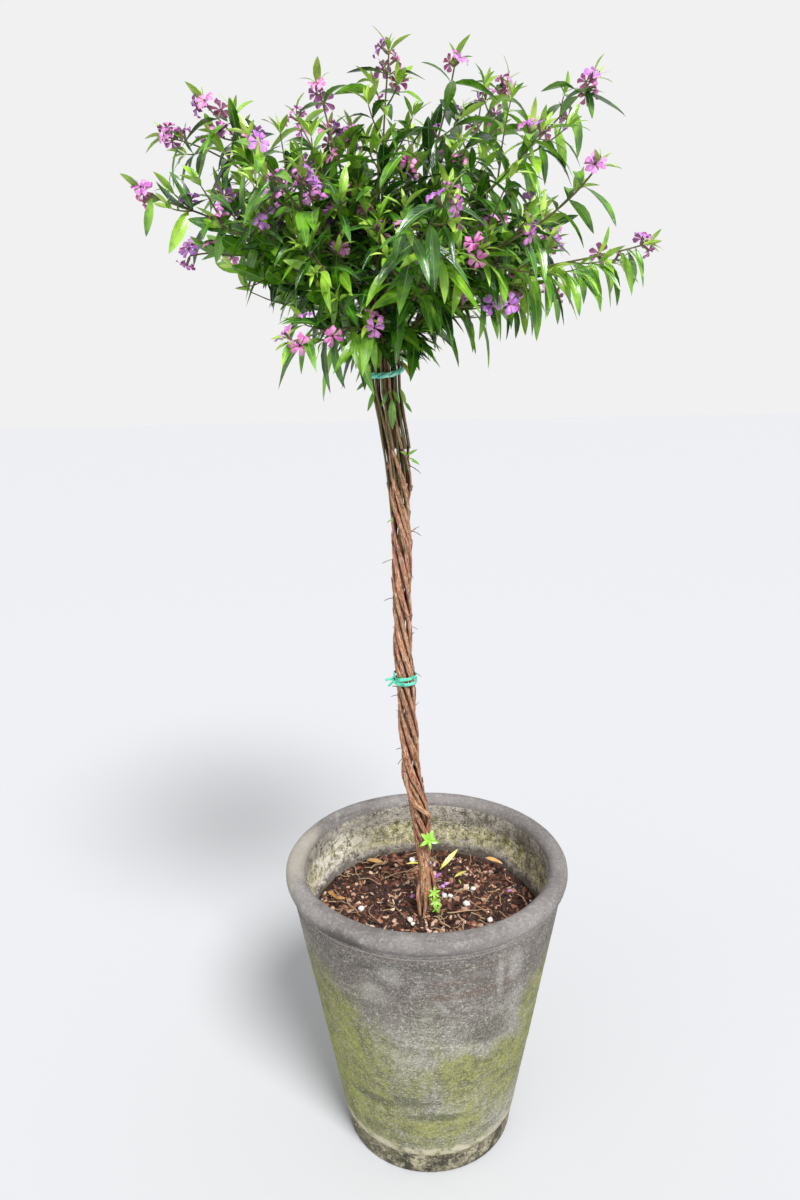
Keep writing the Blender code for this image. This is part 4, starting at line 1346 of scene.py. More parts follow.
# leaves on the neck and the stems: place, way, length, tone
neckLeaves = (
    ((-0.0188, -0.0124, 0.5585), (0.03, -0.10, -1.0), 0.0200, "midLeaf"),
    ((-0.0180, -0.0120, 0.5630), (0.40, -0.45, -0.75), 0.0100, "freshLeaf"),
    ((-0.0205, -0.0120, 0.5630), (-0.40, -0.35, -0.80), 0.0110, "darkLeaf"),
    ((-0.0290, -0.0095, 0.5640), (-0.35, -0.20, -0.90), 0.0150, "darkLeaf"),
    ((-0.0320, -0.0070, 0.5710), (-0.75, -0.20, -0.60), 0.0120, "darkLeaf"),
    ((-0.0130, -0.0080, 0.5640), (0.30, -0.20, -0.90), 0.0120, "freshLeaf"),
    ((-0.0112, -0.0070, 0.5560), (0.55, -0.30, -0.70), 0.0090, "midLeaf"),
    ((-0.0096, -0.0070, 0.5215), (0.70, -0.35, 0.45), 0.0085, "freshLeaf"),
    ((-0.0090, -0.0068, 0.5200), (0.85, -0.10, -0.45), 0.0090, "midLeaf"),
    ((-0.0096, -0.0070, 0.5215), (-0.35, -0.60, 0.30), 0.0080, "freshLeaf"),
    ((-0.0190, -0.0060, 0.4800), (-0.60, -0.40, -0.30), 0.0060, "midLeaf"),
    ((-0.0165, -0.0062, 0.3680), (-0.10, -0.60, 0.40), 0.0060, "freshLeaf"),
)
# rosettes of young leaves at the foot: place, way up, leaves, length
rosettes = (
    ((0.0016, -0.0085, 0.2425), (0.10, -0.80, 0.45), 5, 0.0085),
    ((0.0018, -0.0088, 0.2432), (0.10, -0.80, 0.45), 4, 0.0055),
    ((0.0052, -0.0120, 0.2010), (0.10, -0.60, 0.65), 6, 0.0060),
    ((0.0058, -0.0125, 0.1950), (0.20, -0.80, 0.30), 6, 0.0055),
    ((0.0064, -0.0128, 0.1890), (0.20, -0.80, 0.10), 4, 0.0050),
)
# dead leaves and petals: place, way, length, tone
fallen = (
    ((-0.0118, -0.0125, 0.5806), (0.35, -0.55, -0.60), 0.0120, "dryLeaf"),
    ((0.0120, 0.0440, 0.1862), (0.62, 0.46, 0.50), 0.0230, "yellowLeaf"),
    ((-0.0150, 0.0520, 0.1870), (0.95, 0.10, 0.14), 0.0120, "yellowLeaf"),
    ((0.0230, 0.0330, 0.1860), (0.80, 0.48, 0.20), 0.0120, "yellowLeaf"),
    ((0.0262, 0.0300, 0.1858), (0.20, -0.80, 0.10), 0.0060, "yellowLeaf"),
    ((-0.0760, 0.0180, 0.1850), (0.45, -0.75, 0.30), 0.0130, "dryLeaf"),
    ((-0.0700, 0.0090, 0.1852), (0.60, -0.30, 0.25), 0.0090, "dryLeaf"),
    ((0.0500, 0.0600, 0.1862), (0.75, -0.45, 0.12), 0.0150, "dryLeaf"),
    ((-0.0330, 0.0560, 0.1862), (-0.80, 0.20, 0.10), 0.0150, "dryLeaf"),
    ((0.0040, 0.0480, 0.1868), (0.20, -0.60, 0.75), 0.0062, "fallenPetal"),
    ((0.0080, 0.0335, 0.1868), (0.70, -0.20, 0.55), 0.0058, "fallenPetal"),
    ((0.0086, 0.0325, 0.1868), (-0.50, -0.60, 0.35), 0.0050, "fallenPetal"),
    ((0.0140, 0.0210, 0.1868), (0.70, -0.10, 0.50), 0.0054, "fallenPetal"),
    ((0.0148, 0.0190, 0.1868), (-0.60, -0.50, 0.45), 0.0050, "fallenPetal"),
    ((-0.0125, 0.0060, 0.1868), (0.60, -0.40, 0.50), 0.0052, "fallenPetal"),
    ((0.0620, 0.0120, 0.1862), (0.60, -0.40, 0.40), 0.0046, "fallenPetal"),
)
fallenTones = {
    "youngRosette": ((0.130, 0.430, 0.020), (0.330, 0.680, 0.060)),
    "yellowLeaf": ((0.560, 0.520, 0.060), (0.800, 0.720, 0.190)),
    "dryLeaf": ((0.420, 0.170, 0.040), (0.700, 0.400, 0.130)),
    "fallenPetal": ((0.440, 0.150, 0.480), (0.660, 0.330, 0.700)),
}


def leafTone(luck, *weights):
    return luck.choices(("deepLeaf", "darkLeaf", "midLeaf", "freshLeaf"), weights)[0]


def growPair(luck, grown, point, direction, turn, length, spread, droop, tone):
    for side in (0.0, math.pi):
        out = sideOf(direction, turn + side)
        lift = math.radians(spread + luck.uniform(-10, 10))
        lead = unit(direction * math.cos(lift) + out * math.sin(lift) - up * luck.uniform(0.0, droop))
        face = unit(up + 0.7 * direction + np.array([luck.uniform(-0.5, 0.5), luck.uniform(-0.5, 0.5), 0.0]))
        size = length * luck.uniform(0.78, 1.14)
        grown["leaves"].append((point, lead, face, size, tone, droop * luck.uniform(0.25, 1.0)))


def growTip(luck, grown, point, direction, flowers):
    # a tuft of small young leaves, with flowers from the joints below it
    turn = luck.uniform(0, math.pi)
    for pair in range(2):
        size = growth["leafLength"] * (growth["tuftLeaf"] - growth["tuftStep"] * pair)
        young = "youngLeaf" if pair or luck.random() < 0.45 else "freshLeaf"
        spot = point + direction * 0.002 * pair
        growPair(luck, grown, spot, direction, turn + pair * math.pi / 2, size, 36, 0.12, young)
    size = growth["leafLength"] * growth["tipLeaf"]
    grown["leaves"].append((point, direction, sideOf(direction, turn), size, "youngLeaf", 0.0))
    for k in range(flowers):
        out = sideOf(direction, turn + 2.2 * k + luck.uniform(-0.5, 0.5))
        facing = unit(out + 0.55 * direction + 0.25 * up)
        start = point - direction * luck.uniform(0.000, 0.003 + 0.003 * k)
        grown["flowers"].append((start, facing, luck.uniform(0.88, 1.12)))


def growTwig(luck, grown, path, tone, droop, order):
    reach = runLength(path)
    pairs = max(1, int(reach / growth["twigPairStep"]))
    turn = luck.uniform(0, math.pi)
    for pair in range(1, pairs + 1):
        point, direction = along(path, reach * pair / (pairs + 0.5))
        turn += math.pi / 2 + luck.uniform(-0.2, 0.2)
        size = growth["leafLength"] * growth["pairLeaf" if pair < pairs else "lastLeaf"]
        size *= 1.0 if order == 1 else growth["smallTwigLeaf"]
        growPair(luck, grown, point, direction, turn, size, 54, droop, tone)
        if order == 1 and reach - reach * pair / pairs > 0.010 and luck.random() < growth["smallTwigChance"]:
            out = sideOf(direction, turn + luck.choice((0, math.pi)) + 0.4)
            lead = unit(direction * 0.75 + out * 0.66)
            span = luck.uniform(0.010, 0.019)
            half = point + lead * span * 0.5
            small = np.array([point, half, half + unit(lead + 0.3 * up) * span * 0.5])
            grown["twigs"].append((small, (0.00050, 0.00042, 0.00032)))
            growTwig(luck, grown, small, tone, droop, 2)
    point, direction = along(path, reach)
    flowers = 0
    if luck.random() < growth["tipFlowers"] * (1.0 if order == 1 else 0.6):
        flowers = luck.choice((1, 1, 2, 3))
    growTip(luck, grown, point, direction, flowers)


def twigPath(luck, point, direction, out, ahead):
    # a side twig that leaves its shoot, then bends forwards and up
    reach = ahead * growth["twigShare"] * luck.uniform(0.7, 1.25)
    reach = min(max(reach, growth["twigShortest"]), growth["twigLongest"])
    lead = unit(direction * 0.72 + out * 0.70)
    bend = unit(lead + 0.35 * direction + 0.25 * up)
    knee = point + lead * reach * 0.55 + bend * reach * 0.15
    return bezier(point, point + lead * reach * 0.4, knee, point + lead * reach * 0.5 + bend * reach * 0.5, 6)


def growMass(own, limb):
    luck = random.Random(growth["seed"] + 17 * own)
    grown = {"leaves": [], "twigs": [], "flowers": []}
    sweep = limb["sweep"]
    length = runLength(sweep)
    first = growth["neckLeaves"]
    bare = bareness.get(limb["name"], 0.5)
    droop = growth["droop"][limb["tier"]]
    count = int((length - first) / growth["pairStep"])
    turn = luck.uniform(0, math.pi)
    begin = limb["share"] * 0.98
    shoot = [along(sweep, length * begin + length * (1 - begin) * k / 14)[0] for k in range(15)]
    grown["twigs"].append((np.array(shoot), np.linspace(growth["shootRadius"], 0.0005, 15)))
    for node in range(count):
        place = first + (length - first) * (node + 0.4) / count
        point, direction = along(sweep, place)
        ahead = length - place
        inner = 1 - place / length
        turn += math.pi / 2 + luck.uniform(-0.25, 0.25)
        if ahead > growth["twigShortest"] * 1.3 and place > length * limb["share"] * 0.55:
            chance = growth["twigChance"] * (bare + (1 - bare) * ease(inner, 0.12, 0.62))
            for side in (0.0, math.pi):
                if luck.random() > chance:
                    continue
                path = twigPath(luck, point, direction, sideOf(direction, turn + side), ahead)
                grown["twigs"].append((path, np.linspace(growth["twigRadius"], 0.00036, 6)))
                # leaves nearer the neck, deep in the crown, more often get the deepest tone, as painted shade
                tone = leafTone(luck, 2 + 6 * inner, 3, 3, 0.6 + 1.2 * (1 - inner))
                growTwig(luck, grown, path, tone, droop, 1)
        # the deepest tone again weighted towards the crown's inside, as painted shade
        tone = leafTone(luck, 1 + 8 * inner, 3, 3, 0.7)
        size = growth["leafLength"] * (1.12 if ahead > 0.03 else 0.86)
        growPair(luck, grown, point, direction, turn + 0.9, size, 60, droop, tone)
        if ahead < 0.045 and luck.random() < 0.7:
            out = sideOf(direction, turn + luck.uniform(0, 6.28))
            grown["flowers"].append((point, unit(out + 0.4 * direction + 0.3 * up), luck.uniform(0.9, 1.12)))
    point, direction = along(sweep, length)
    growTip(luck, grown, point, direction, luck.choice((2, 2, 3, 3)))
    return grown


def leafTemplate():
    # across from -1 to 1, share of the length and half width of each point, five to a row, then the tip
    spots = [(u, v, half) for v, half in leafOutline for u in (-1.0, -0.52, 0.0, 0.52, 1.0)]
    last = 5 * (len(leafOutline) - 1)
    faces = [(a, a + 1, a + 6, a + 5) for row in range(0, last, 5) for a in range(row, row + 4)]
    faces += [(a, a + 1, last + 5) for a in range(last, last + 4)]
    return np.array(spots + [(0.0, 1.0, 0.0)]), faces


def leafMaterial(name, dark, light):
    made, tree, place = newMaterial(name, 0.25)
    shaderOf(made).inputs["Specular IOR Level"].default_value = 0.85
    spread = put(tree, "ShaderNodeUVMap", uv_map="leafSpread").outputs[0]
    parts = put(tree, "ShaderNodeSeparateXYZ", {0: spread}).outputs
    fromRib = calc(tree, "ABSOLUTE", calc(tree, "SUBTRACT", parts[0], 0.5))
    tone = blendTones(tree, speckle(tree, place, 0.40, 0.60, 62, 3), dark, light)
    # veins slant forwards from the pale midrib
    veins = times(tree, plus(tree, parts[1], times(tree, fromRib, -0.5)), 62.0)
    veins = times(tree, between(tree, calc(tree, "SINE", veins), 0.55, 1.0), 0.16)
    tone = blendTones(tree, veins, tone, shadeOf(light, 1.7))
    ribTone = tuple(c + (d - c) * 0.45 for c, d in zip(light, (0.42, 0.55, 0.22)))
    tone = glaze(tree, tone, between(tree, fromRib, 0.075, 0.02), 0.62, ribTone)
    return finished(made, tone, plus(tree, between(tree, fromRib, 0.0, 0.09), veins), 0.5, 0.0004)


def leafPiece(name, leaves, material, luck, broad=1.0):
    # each leaf: root, way it leads, way it faces, length and sag
    template, faces = leafTemplate()
    u, v, half = template.T
    count = len(leaves)
    roots, leads, facing = (np.array([leaf[k] for leaf in leaves]) for k in range(3))
    lengths, sags = (np.array([leaf[k] for leaf in leaves])[:, None] for k in (3, 4))
    across = np.cross(leads, facing)
    across /= np.maximum(np.linalg.norm(across, axis=1, keepdims=True), 1e-6)
    normals = np.cross(across, leads)
    own = [np.array([luck.uniform(*span) for _ in range(count)])[:, None] for span in growth["leafLuck"]]
    widths = broad * lengths * growth["leafWidth"] / growth["leafLength"] / 2 * own[0]
    bends, folds, twists, waves = own[1:]
    angle = twists * v
    side = u * half * widths
    lift = np.abs(u * half) * (widths * folds) + 0.07 * np.sin(v * 8 + waves) * np.abs(u) * widths
    x = side * np.cos(angle) - lift * np.sin(angle)
    n = side * np.sin(angle) + lift * np.cos(angle)
    n = n - bends * v**2 * lengths + 0.05 * np.sin(v * math.pi) * lengths
    spots = roots[:, None] + leads[:, None] * (v * lengths)[..., None]
    spots = spots + across[:, None] * x[..., None] + normals[:, None] * n[..., None]
    sags = sags * 0.42 * np.hypot(leads[:, :1], leads[:, 1:2])
    spots = spots - up * (sags * v**2 * lengths)[..., None]
    loops = np.concatenate([np.array(face) for face in faces])
    allLoops = (loops + (np.arange(count) * len(template))[:, None]).reshape(-1)
    sizes = np.tile([len(face) for face in faces], count)
    mesh = bpy.data.meshes.new(name)
    mesh.vertices.add(count * len(template))
    mesh.vertices.foreach_set("co", spots.reshape(-1).astype(np.float32))
    mesh.loops.add(len(allLoops))
    mesh.loops.foreach_set("vertex_index", allLoops.astype(np.int32))
    mesh.polygons.add(len(sizes))
    mesh.polygons.foreach_set("loop_start", (np.cumsum(sizes) - sizes).astype(np.int32))
    mesh.update(calc_edges=True)
    mesh.validate()
    spread = np.stack([(u + 1) / 2, v], axis=1)[loops]
    layer = mesh.uv_layers.new(name="leafSpread")
    layer.data.foreach_set("uv", np.tile(spread, (count, 1)).reshape(-1).astype(np.float32))
    mesh.materials.append(material)
    mesh.shade_smooth()
    return linked(name, mesh)


flower = {
    "seed": 77,
    "sides": 6,
    "radius": 0.0070,
    "tube": 0.0062,
    "tubeRadius": 0.0009,
    "petals": 6,
    # share of the length and width of the tube's rings
    "tubeRings": ((0.0, 0.35), (0.25, 1.0), (0.75, 0.85), (1.0, 1.25)),
    # reach, width and rise of the petals' rows
    "petalRows": ((0.10, 0.10, 0.0), (0.40, 0.50, 0.10), (0.75, 0.95, 0.10), (1.0, 0.62, -0.02)),
    "calyxTones": ((0.150, 0.140, 0.050), (0.250, 0.110, 0.130)),
    # weight, deep tone and light tone of each kind
    "kinds": {
        "mauve": (4, (0.500, 0.115, 0.470), (0.800, 0.350, 0.740)),
        "pink": (3, (0.600, 0.110, 0.410), (0.880, 0.370, 0.660)),
        "violet": (2, (0.370, 0.095, 0.470), (0.640, 0.290, 0.720)),
    },
}


def flowerMesh():
    # calyx tube along +Z with six crinkled petals at its mouth
    verts = []
    sides = flower["sides"]
    for share, wide in flower["tubeRings"]:
        for k in range(sides):
            r, angle = flower["tubeRadius"] * wide, math.tau * k / sides
            verts.append((r * math.cos(angle), r * math.sin(angle), flower["tube"] * share))
    faces = ringQuads(len(flower["tubeRings"]), sides)
    tubeFaces = len(faces)
    for petal in range(flower["petals"]):
        turn = math.tau * petal / flower["petals"] + (0.12 if petal % 2 else -0.08)
        long = 1.0 if petal in (0, 1) else 0.84
        base = len(verts)
        for row, (out, wide, rise) in enumerate(flower["petalRows"]):
            for column in (-1, 0, 1):
                reach = flower["radius"] * out * long * (0.93 if column and row == 3 else 1.0)
                aside = column * flower["radius"] * 0.27 * wide
                crinkle = 0.15 * math.sin(petal * 2.1 + row * 1.9 + column * 1.3)
                z = flower["tube"] + flower["radius"] * (rise + crinkle * out - 0.06 * abs(column))
                x = reach * math.cos(turn) - aside * math.sin(turn)
                y = reach * math.sin(turn) + aside * math.cos(turn)
                verts.append((x, y, z))
        faces += [(a, a + 3, a + 4, a + 1) for row in range(3) for a in (base + row * 3, base + row * 3 + 1)]
    return verts, faces, tubeFaces


def petalMaterial(name, deep, light):
    made, tree, place = newMaterial(name, 0.6)
    tone = blendTones(tree, speckle(tree, place, 0.36, 0.64, 260, 3), deep, light)
    return finished(made, tone, grain(tree, place, 700, 3), 0.25, 0.0004)


def placeTree():
    # stands a shape on every point, turned to face its way, at its own size
    tree, given = newTree("standOnPoints", {"Points": "Geometry", "Shape": "Object", "Seed": "Int"}, "Pieces")
    facing = named(tree, "facing", "FLOAT_VECTOR")
    turned = put(tree, "FunctionNodeAlignRotationToVector", {"Vector": facing}, axis="Z").outputs[0]
    spin = {"Axis": (0.0, 0.0, 1.0), "Angle": drawn(tree, "FLOAT", 0.0, math.tau, given["Seed"])}
    spun = put(tree, "FunctionNodeAxisAngleToRotation", spin).outputs[0]
    rotation = put(tree, "FunctionNodeRotateRotation", {0: turned, 1: spun}, rotation_space="LOCAL").outputs[0]
    shape = put(tree, "GeometryNodeObjectInfo", {"Object": given["Shape"]}).outputs["Geometry"]
    links = {"Points": given["Points"], "Instance": shape, "Rotation": rotation, "Scale": named(tree, "size")}
    return endTree(tree, put(tree, "GeometryNodeInstanceOnPoints", links).outputs[0])


def makeFlowers(flowers, tree):
    verts, faces, tubeFaces = flowerMesh()
    calyx = grainyMaterial("calyxGreen", 0.55, 300, *flower["calyxTones"])
    kinds = flower["kinds"]
    petals = {name: petalMaterial(name + "Petal", *tones) for name, (_, *tones) in kinds.items()}
    luck = random.Random(flower["seed"])
    dealt = {name: [] for name in kinds}
    for item in flowers:
        dealt[luck.choices(list(kinds), [kind[0] for kind in kinds.values()])[0]].append(item)
    made = []
    for number, (kind, items) in enumerate(dealt.items()):
        name = kind + "Flowers"
        shape = meshPiece(name + "Shape", verts, faces, [calyx, petals[kind]])
        shape.data.polygons.foreach_set("material_index", [int(k >= tubeFaces) for k in range(len(faces))])
        points = bpy.data.meshes.new(name + "Points")
        points.from_pydata([tuple(item[0]) for item in items], [], [])
        facing = points.attributes.new("facing", "FLOAT_VECTOR", "POINT")
        facing.data.foreach_set("vector", [c for item in items for c in item[1]])
        sizes = points.attributes.new("size", "FLOAT", "POINT")
        sizes.data.foreach_set("value", [item[2] for item in items])
        holder = linked(name + "Points", points)
        made.append(grownMesh(name, holder, tree, {"Shape": shape, "Seed": 5 + number}))
        bpy.data.objects.remove(shape, do_unlink=True)
    print("flowers made:", len(flowers))
    return made


def insideBox(point, slack):
    return all(cadBox[0][k] - slack[k] < point[k] < cadBox[1][k] + slack[k] for k in range(3))


def belowSkirt(tip, middle, luck):
    right, rise = tip[0] - middle[0], tip[2] - middle[2]
    reach = math.hypot(right, tip[1] - middle[1]) + luck.uniform(-1, 1) * skirt["luck"]
    toRight = min(max(right, 0.0) / max(reach, 0.001), 1.0) * (1 - ease(rise, 0.050, 0.080))
    widens = skirt["widens"] * (1 - (1 - skirt["rightShare"]) * toRight)
    return reach > skirt["radius"] + widens * rise or tip[2] < middle[2] - 0.004


def growNeck(leaves, limbs, middle):
    # short leaves that crowd the boughs just above the tie and hang over it
    luck = random.Random(growth["neckSeed"])
    for limb in [limb for limb in limbs if limb["tier"] != "top"]:
        for pair in range(4):
            point = along(limb["sweep"], 0.0005 + 0.0050 * pair)[0]
            out = unit((point - middle) * flat)
            for _ in range(2):
                aside = compass(math.degrees(math.atan2(out[1], out[0])) + luck.uniform(-70, 70))
                lead = unit(aside + up * luck.uniform(-1.10, 0.60))
                size = growth["leafLength"] * luck.uniform(0.42, 0.80)
                tone = leafTone(luck, 3, 4, 3, 1)
                if (point + lead * size)[2] > middle[2] + 0.002:
                    leaves[tone].append((point, lead, unit(up + 0.8 * aside), size, luck.uniform(0.0, 0.25)))
    for place, way, size, tone in neckLeaves:
        leaves[tone].append((np.array(place), unit(np.array(way)), np.array([0.1, -1.0, 0.35]), size, 0.0))


def hangLeaves(leaves, limbs):
    for row in hanging:
        sweep = next(limb["sweep"] for limb in limbs if limb["name"] == row["limb"])
        last = row["count"] - 1
        for k in range(row["count"]):
            point, direction = along(sweep, runLength(sweep) * (row["from"] + (0.97 - row["from"]) * k / last))
            aside = 0.25 * math.sin(k * 2.4)
            lead = unit(0.35 * direction + np.array([aside * 0.3, aside, 0.0]) - up)
            size = row["length"] * (1.0 - 0.12 * math.sin(k * 1.9) - (0.25 if k == last else 0.0))
            tone = ("midLeaf", "darkLeaf", "freshLeaf")[k % 3]
            leaves[tone].append((point, lead, np.array([0.35, -1.0, 0.2 + aside]), size, 0.0))


def makeFallen():
    # rosettes at the foot, dead leaves and petals on the mix
    luck = random.Random(growth["fallenSeed"])
    dealt = {name: [] for name in fallenTones}
    facing = np.array([0.2, -0.75, 0.9])
    for place, way, size, tone in fallen:
        dealt[tone].append((np.array(place), unit(np.array(way)), facing, size, luck.uniform(0.0, 0.3)))
    for place, way, count, size in rosettes:
        axis = unit(np.array(way))
        turn = luck.uniform(0, 6.28)
        for k in range(count):
            out = sideOf(axis, turn + math.tau * k / count)
            lead = unit(out + axis * luck.uniform(0.15, 0.6))
            dealt["youngRosette"].append((np.array(place), lead, axis, size * luck.uniform(0.75, 1.1), 0.1))
    for name, items in dealt.items():
        broad = {"youngRosette": 1.55, "fallenPetal": 2.0, "yellowLeaf": 0.75}.get(name, 1.0)
        piece = leafPiece(name + "s", items, leafMaterial(name, *fallenTones[name]), luck, broad)
        settle(piece, "foliage")
    print("rosettes and fallen bits made")


def makeFoliage(limbs, limbNodes, placeNodes):
    leaves = {name: [] for name in leafTones}
    twigs = []
    flowers = []
    middle = onLean(stand["neckHeight"])
    hangLeaves(leaves, limbs)
    slack = [growth["boxSlack"] * (cadBox[1][k] - cadBox[0][k]) for k in range(3)]
    skirtLuck = random.Random(skirt["seed"])
    for own, limb in enumerate(limbs):
        grown = growMass(own, limb)
        for point, lead, facing, size, tone, sag in grown["leaves"]:
            # a leaf below the skirt hangs or is lifted, or else is left out
            if limb["name"] not in skirt["free"] and belowSkirt(point + lead * size, middle, skirtLuck):
                hung = unit(0.25 * lead * flat - up)
                lifted = unit(lead * flat + up * 0.22)
                lead = lifted if belowSkirt(point + hung * size, middle, skirtLuck) else hung
                facing = unit(unit((point - middle) * flat) + 0.3 * up)
                sag = 0.1
                if belowSkirt(point + lead * size, middle, skirtLuck):
                    continue
            while size > 0.006 and not insideBox(point + lead * size, slack):
                size *= 0.85
            if insideBox(point + lead * size, slack):
                leaves[tone].append((point, lead, facing, size, sag))
        for points, radii in grown["twigs"]:
            if insideBox(points[-1], slack):
                twigs.append((points, radii, (own * 0.41 + len(twigs) * 0.07) % 1.0))
        flowers += [item for item in grown["flowers"] if insideBox(item[0] + item[1] * 0.013, slack)]
    growNeck(leaves, limbs, middle)
    youngBark = barkMaterial("twigBark", *growth["twigTones"], 0.9, 0.6)
    pieces = [sweptPiece("twigs", twigs, limbNodes, youngBark, 6, 0.00012, 1.2, 0.006)]
    luck = random.Random(growth["seed"])
    for name, tones in leafTones.items():
        pieces.append(leafPiece(name + "Sprays", leaves[name], leafMaterial(name, *tones), luck))
        print(name, len(leaves[name]))
    pieces += makeFlowers(flowers, placeNodes)
    settle(pieces[0], "foliage", *["foliage_" + limb["name"] for limb in limbs])
    for piece in pieces[1:]:
        settle(piece, "foliage")
    print("foliage made:", sum(len(found) for found in leaves.values()), "leaves", len(twigs), "twigs")


mix = {
    "around": 150,
    "rings": 46,
    "lump": 0.0034,
    "edgeDrop": 0.003,
    "shapeSeed": 12,
    "scatterSeed": 4,
    "perliteTones": ((0.72, 0.69, 0.66), (0.93, 0.92, 0.90)),
    "fibres": 105,
    "fibreSeed": 31,
    "fibreReach": 0.083,
    "fibreLength": (0.006, 0.022),
    "fibreRadius": (0.00018, 0.00038),
    "strawRadius": 0.00050,
    "strawTones": ((0.300, 0.170, 0.085), (0.640, 0.470, 0.290)),
    # piece, shapes, density, smallest, largest and tilt
    "litter": (
        ("barkChips", "chips", 215000.0, 0.0014, 0.0098, 0.85),
        ("perliteGrains", "grains", 9500.0, 0.0007, 0.0036, 3.0),
    ),
    "chipShapes": ((1.0, 0.55, 0.28), (1.0, 0.35, 0.25), (0.8, 0.7, 0.35), (1.0, 0.22, 0.18)),
    "grainShapes": ((0.9, 0.8, 0.7), (1.0, 0.75, 0.7), (0.8, 0.8, 0.8)),
    # tones of the chips, from the darkest to the palest; the palest end is partly a painted highlight
    "chipTones": (
        (0.0, (0.007, 0.002, 0.002)),
        (0.34, (0.034, 0.009, 0.006)),
        (0.58, (0.165, 0.046, 0.024)),
        (0.82, (0.420, 0.170, 0.090)),
        (1.0, (0.980, 0.740, 0.540)),
    ),
    # larger white grains that stand out: place and size
    "lumps": (
        (-0.0101, 0.0626, 0.0052),
        (-0.0496, -0.0044, 0.0054),
        (0.0366, 0.0191, 0.0048),
        (0.0456, -0.0210, 0.0050),
        (-0.0130, -0.0192, 0.0050),
        (0.0042, 0.0575, 0.0034),
        (0.0140, 0.0110, 0.0052),
        (0.0185, 0.0102, 0.0040),
        (-0.0110, -0.0240, 0.0036),
        (0.0300, 0.0000, 0.0060),
    ),
    # straws that stand out: from and to
    "straws": (
        ((0.0150, -0.0125), (0.0365, -0.0105)),
        ((0.0235, -0.0150), (0.0262, -0.0330)),
        ((0.0330, -0.0130), (0.0420, -0.0215)),
        ((-0.0300, 0.0600), (-0.0440, 0.0500)),
        ((0.0060, -0.0170), (0.0150, -0.0310)),
        ((-0.0620, 0.0080), (-0.0520, -0.0110)),
    ),
}


def mixMaterial():
    made, tree, place = newMaterial("pottingMix", 0.85)
    crumbs = speckle(tree, place, 0.38, 0.62, 240, 5, 0.7)
    tone = blendTones(tree, crumbs, (0.008, 0.003, 0.002), (0.078, 0.027, 0.015))
    tone = glaze(tree, tone, speckle(tree, place, 0.58, 0.68, 520, 3, 0.7), 0.6, (0.27, 0.155, 0.095))
    return finished(made, tone, grain(tree, place, 420, 5, 0.75), 0.8, 0.0015)


def makeSoil():
    rim = innerRadius(stand["soilLevel"] - mix["edgeDrop"]) - 0.0004
    verts = [(0.0, 0.0, stand["soilLevel"])]
    around, rings = mix["around"], mix["rings"]
    for ring in range(1, rings + 1):
        r = rim * ring / rings
        for step in range(around):
            angle = math.tau * step / around
            x, y = r * math.cos(angle), r * math.sin(angle)
            z = stand["soilLevel"] - mix["edgeDrop"] * ease(r, 0.034, rim)
            spot = (x, y, 0)
            hump = wander(spot, 45, 2.0) * 0.6 + wander(spot, 130, 7.0) * 0.5 + wander(spot, 420, 4.0) * 0.25
            verts.append((x, y, z + mix["lump"] * hump * (1 - 0.5 * ease(r, rim - 0.004, rim))))
    faces = [(0, 1 + step, 1 + (step + 1) % around) for step in range(around)]
    faces += [(a, d, c, b) for a, b, c, d in ringQuads(rings, around, 1)]
    top = len(faces)
    low = len(verts)
    bottom = pot["floor"] + 0.0003
    r = innerRadius(bottom) - 0.0006
    angles = [math.tau * step / around for step in range(around)]
    verts += [(r * math.cos(angle), r * math.sin(angle), bottom) for angle in angles]
    verts.append((0.0, 0.0, bottom))
    a = 1 + (rings - 1) * around
    for step in range(around):
        after = (step + 1) % around
        faces.append((a + step, low + step, low + after, a + after))
        faces.append((low + after, low + step, len(verts) - 1))
    soil = meshPiece("pottingMix", verts, faces, [mixMaterial()])
    settle(soil, "potting_mix", "soil")
    print("potting mix made:", len(faces), "faces")
    return soil, top


def chunkShape(name, luck, stretch, material, detail=1):
    # an irregular crumb about one unit long
    bm = bmesh.new()
    bmesh.ops.create_icosphere(bm, subdivisions=detail, radius=0.5)
    for vert in bm.verts:
        vert.co = vert.co * Vector(stretch) * luck.uniform(0.72, 1.18)
    mesh = bpy.data.meshes.new(name)
    bm.to_mesh(mesh)
    bm.free()
    mesh.materials.append(material)
    return bpy.data.objects.new(name, mesh)


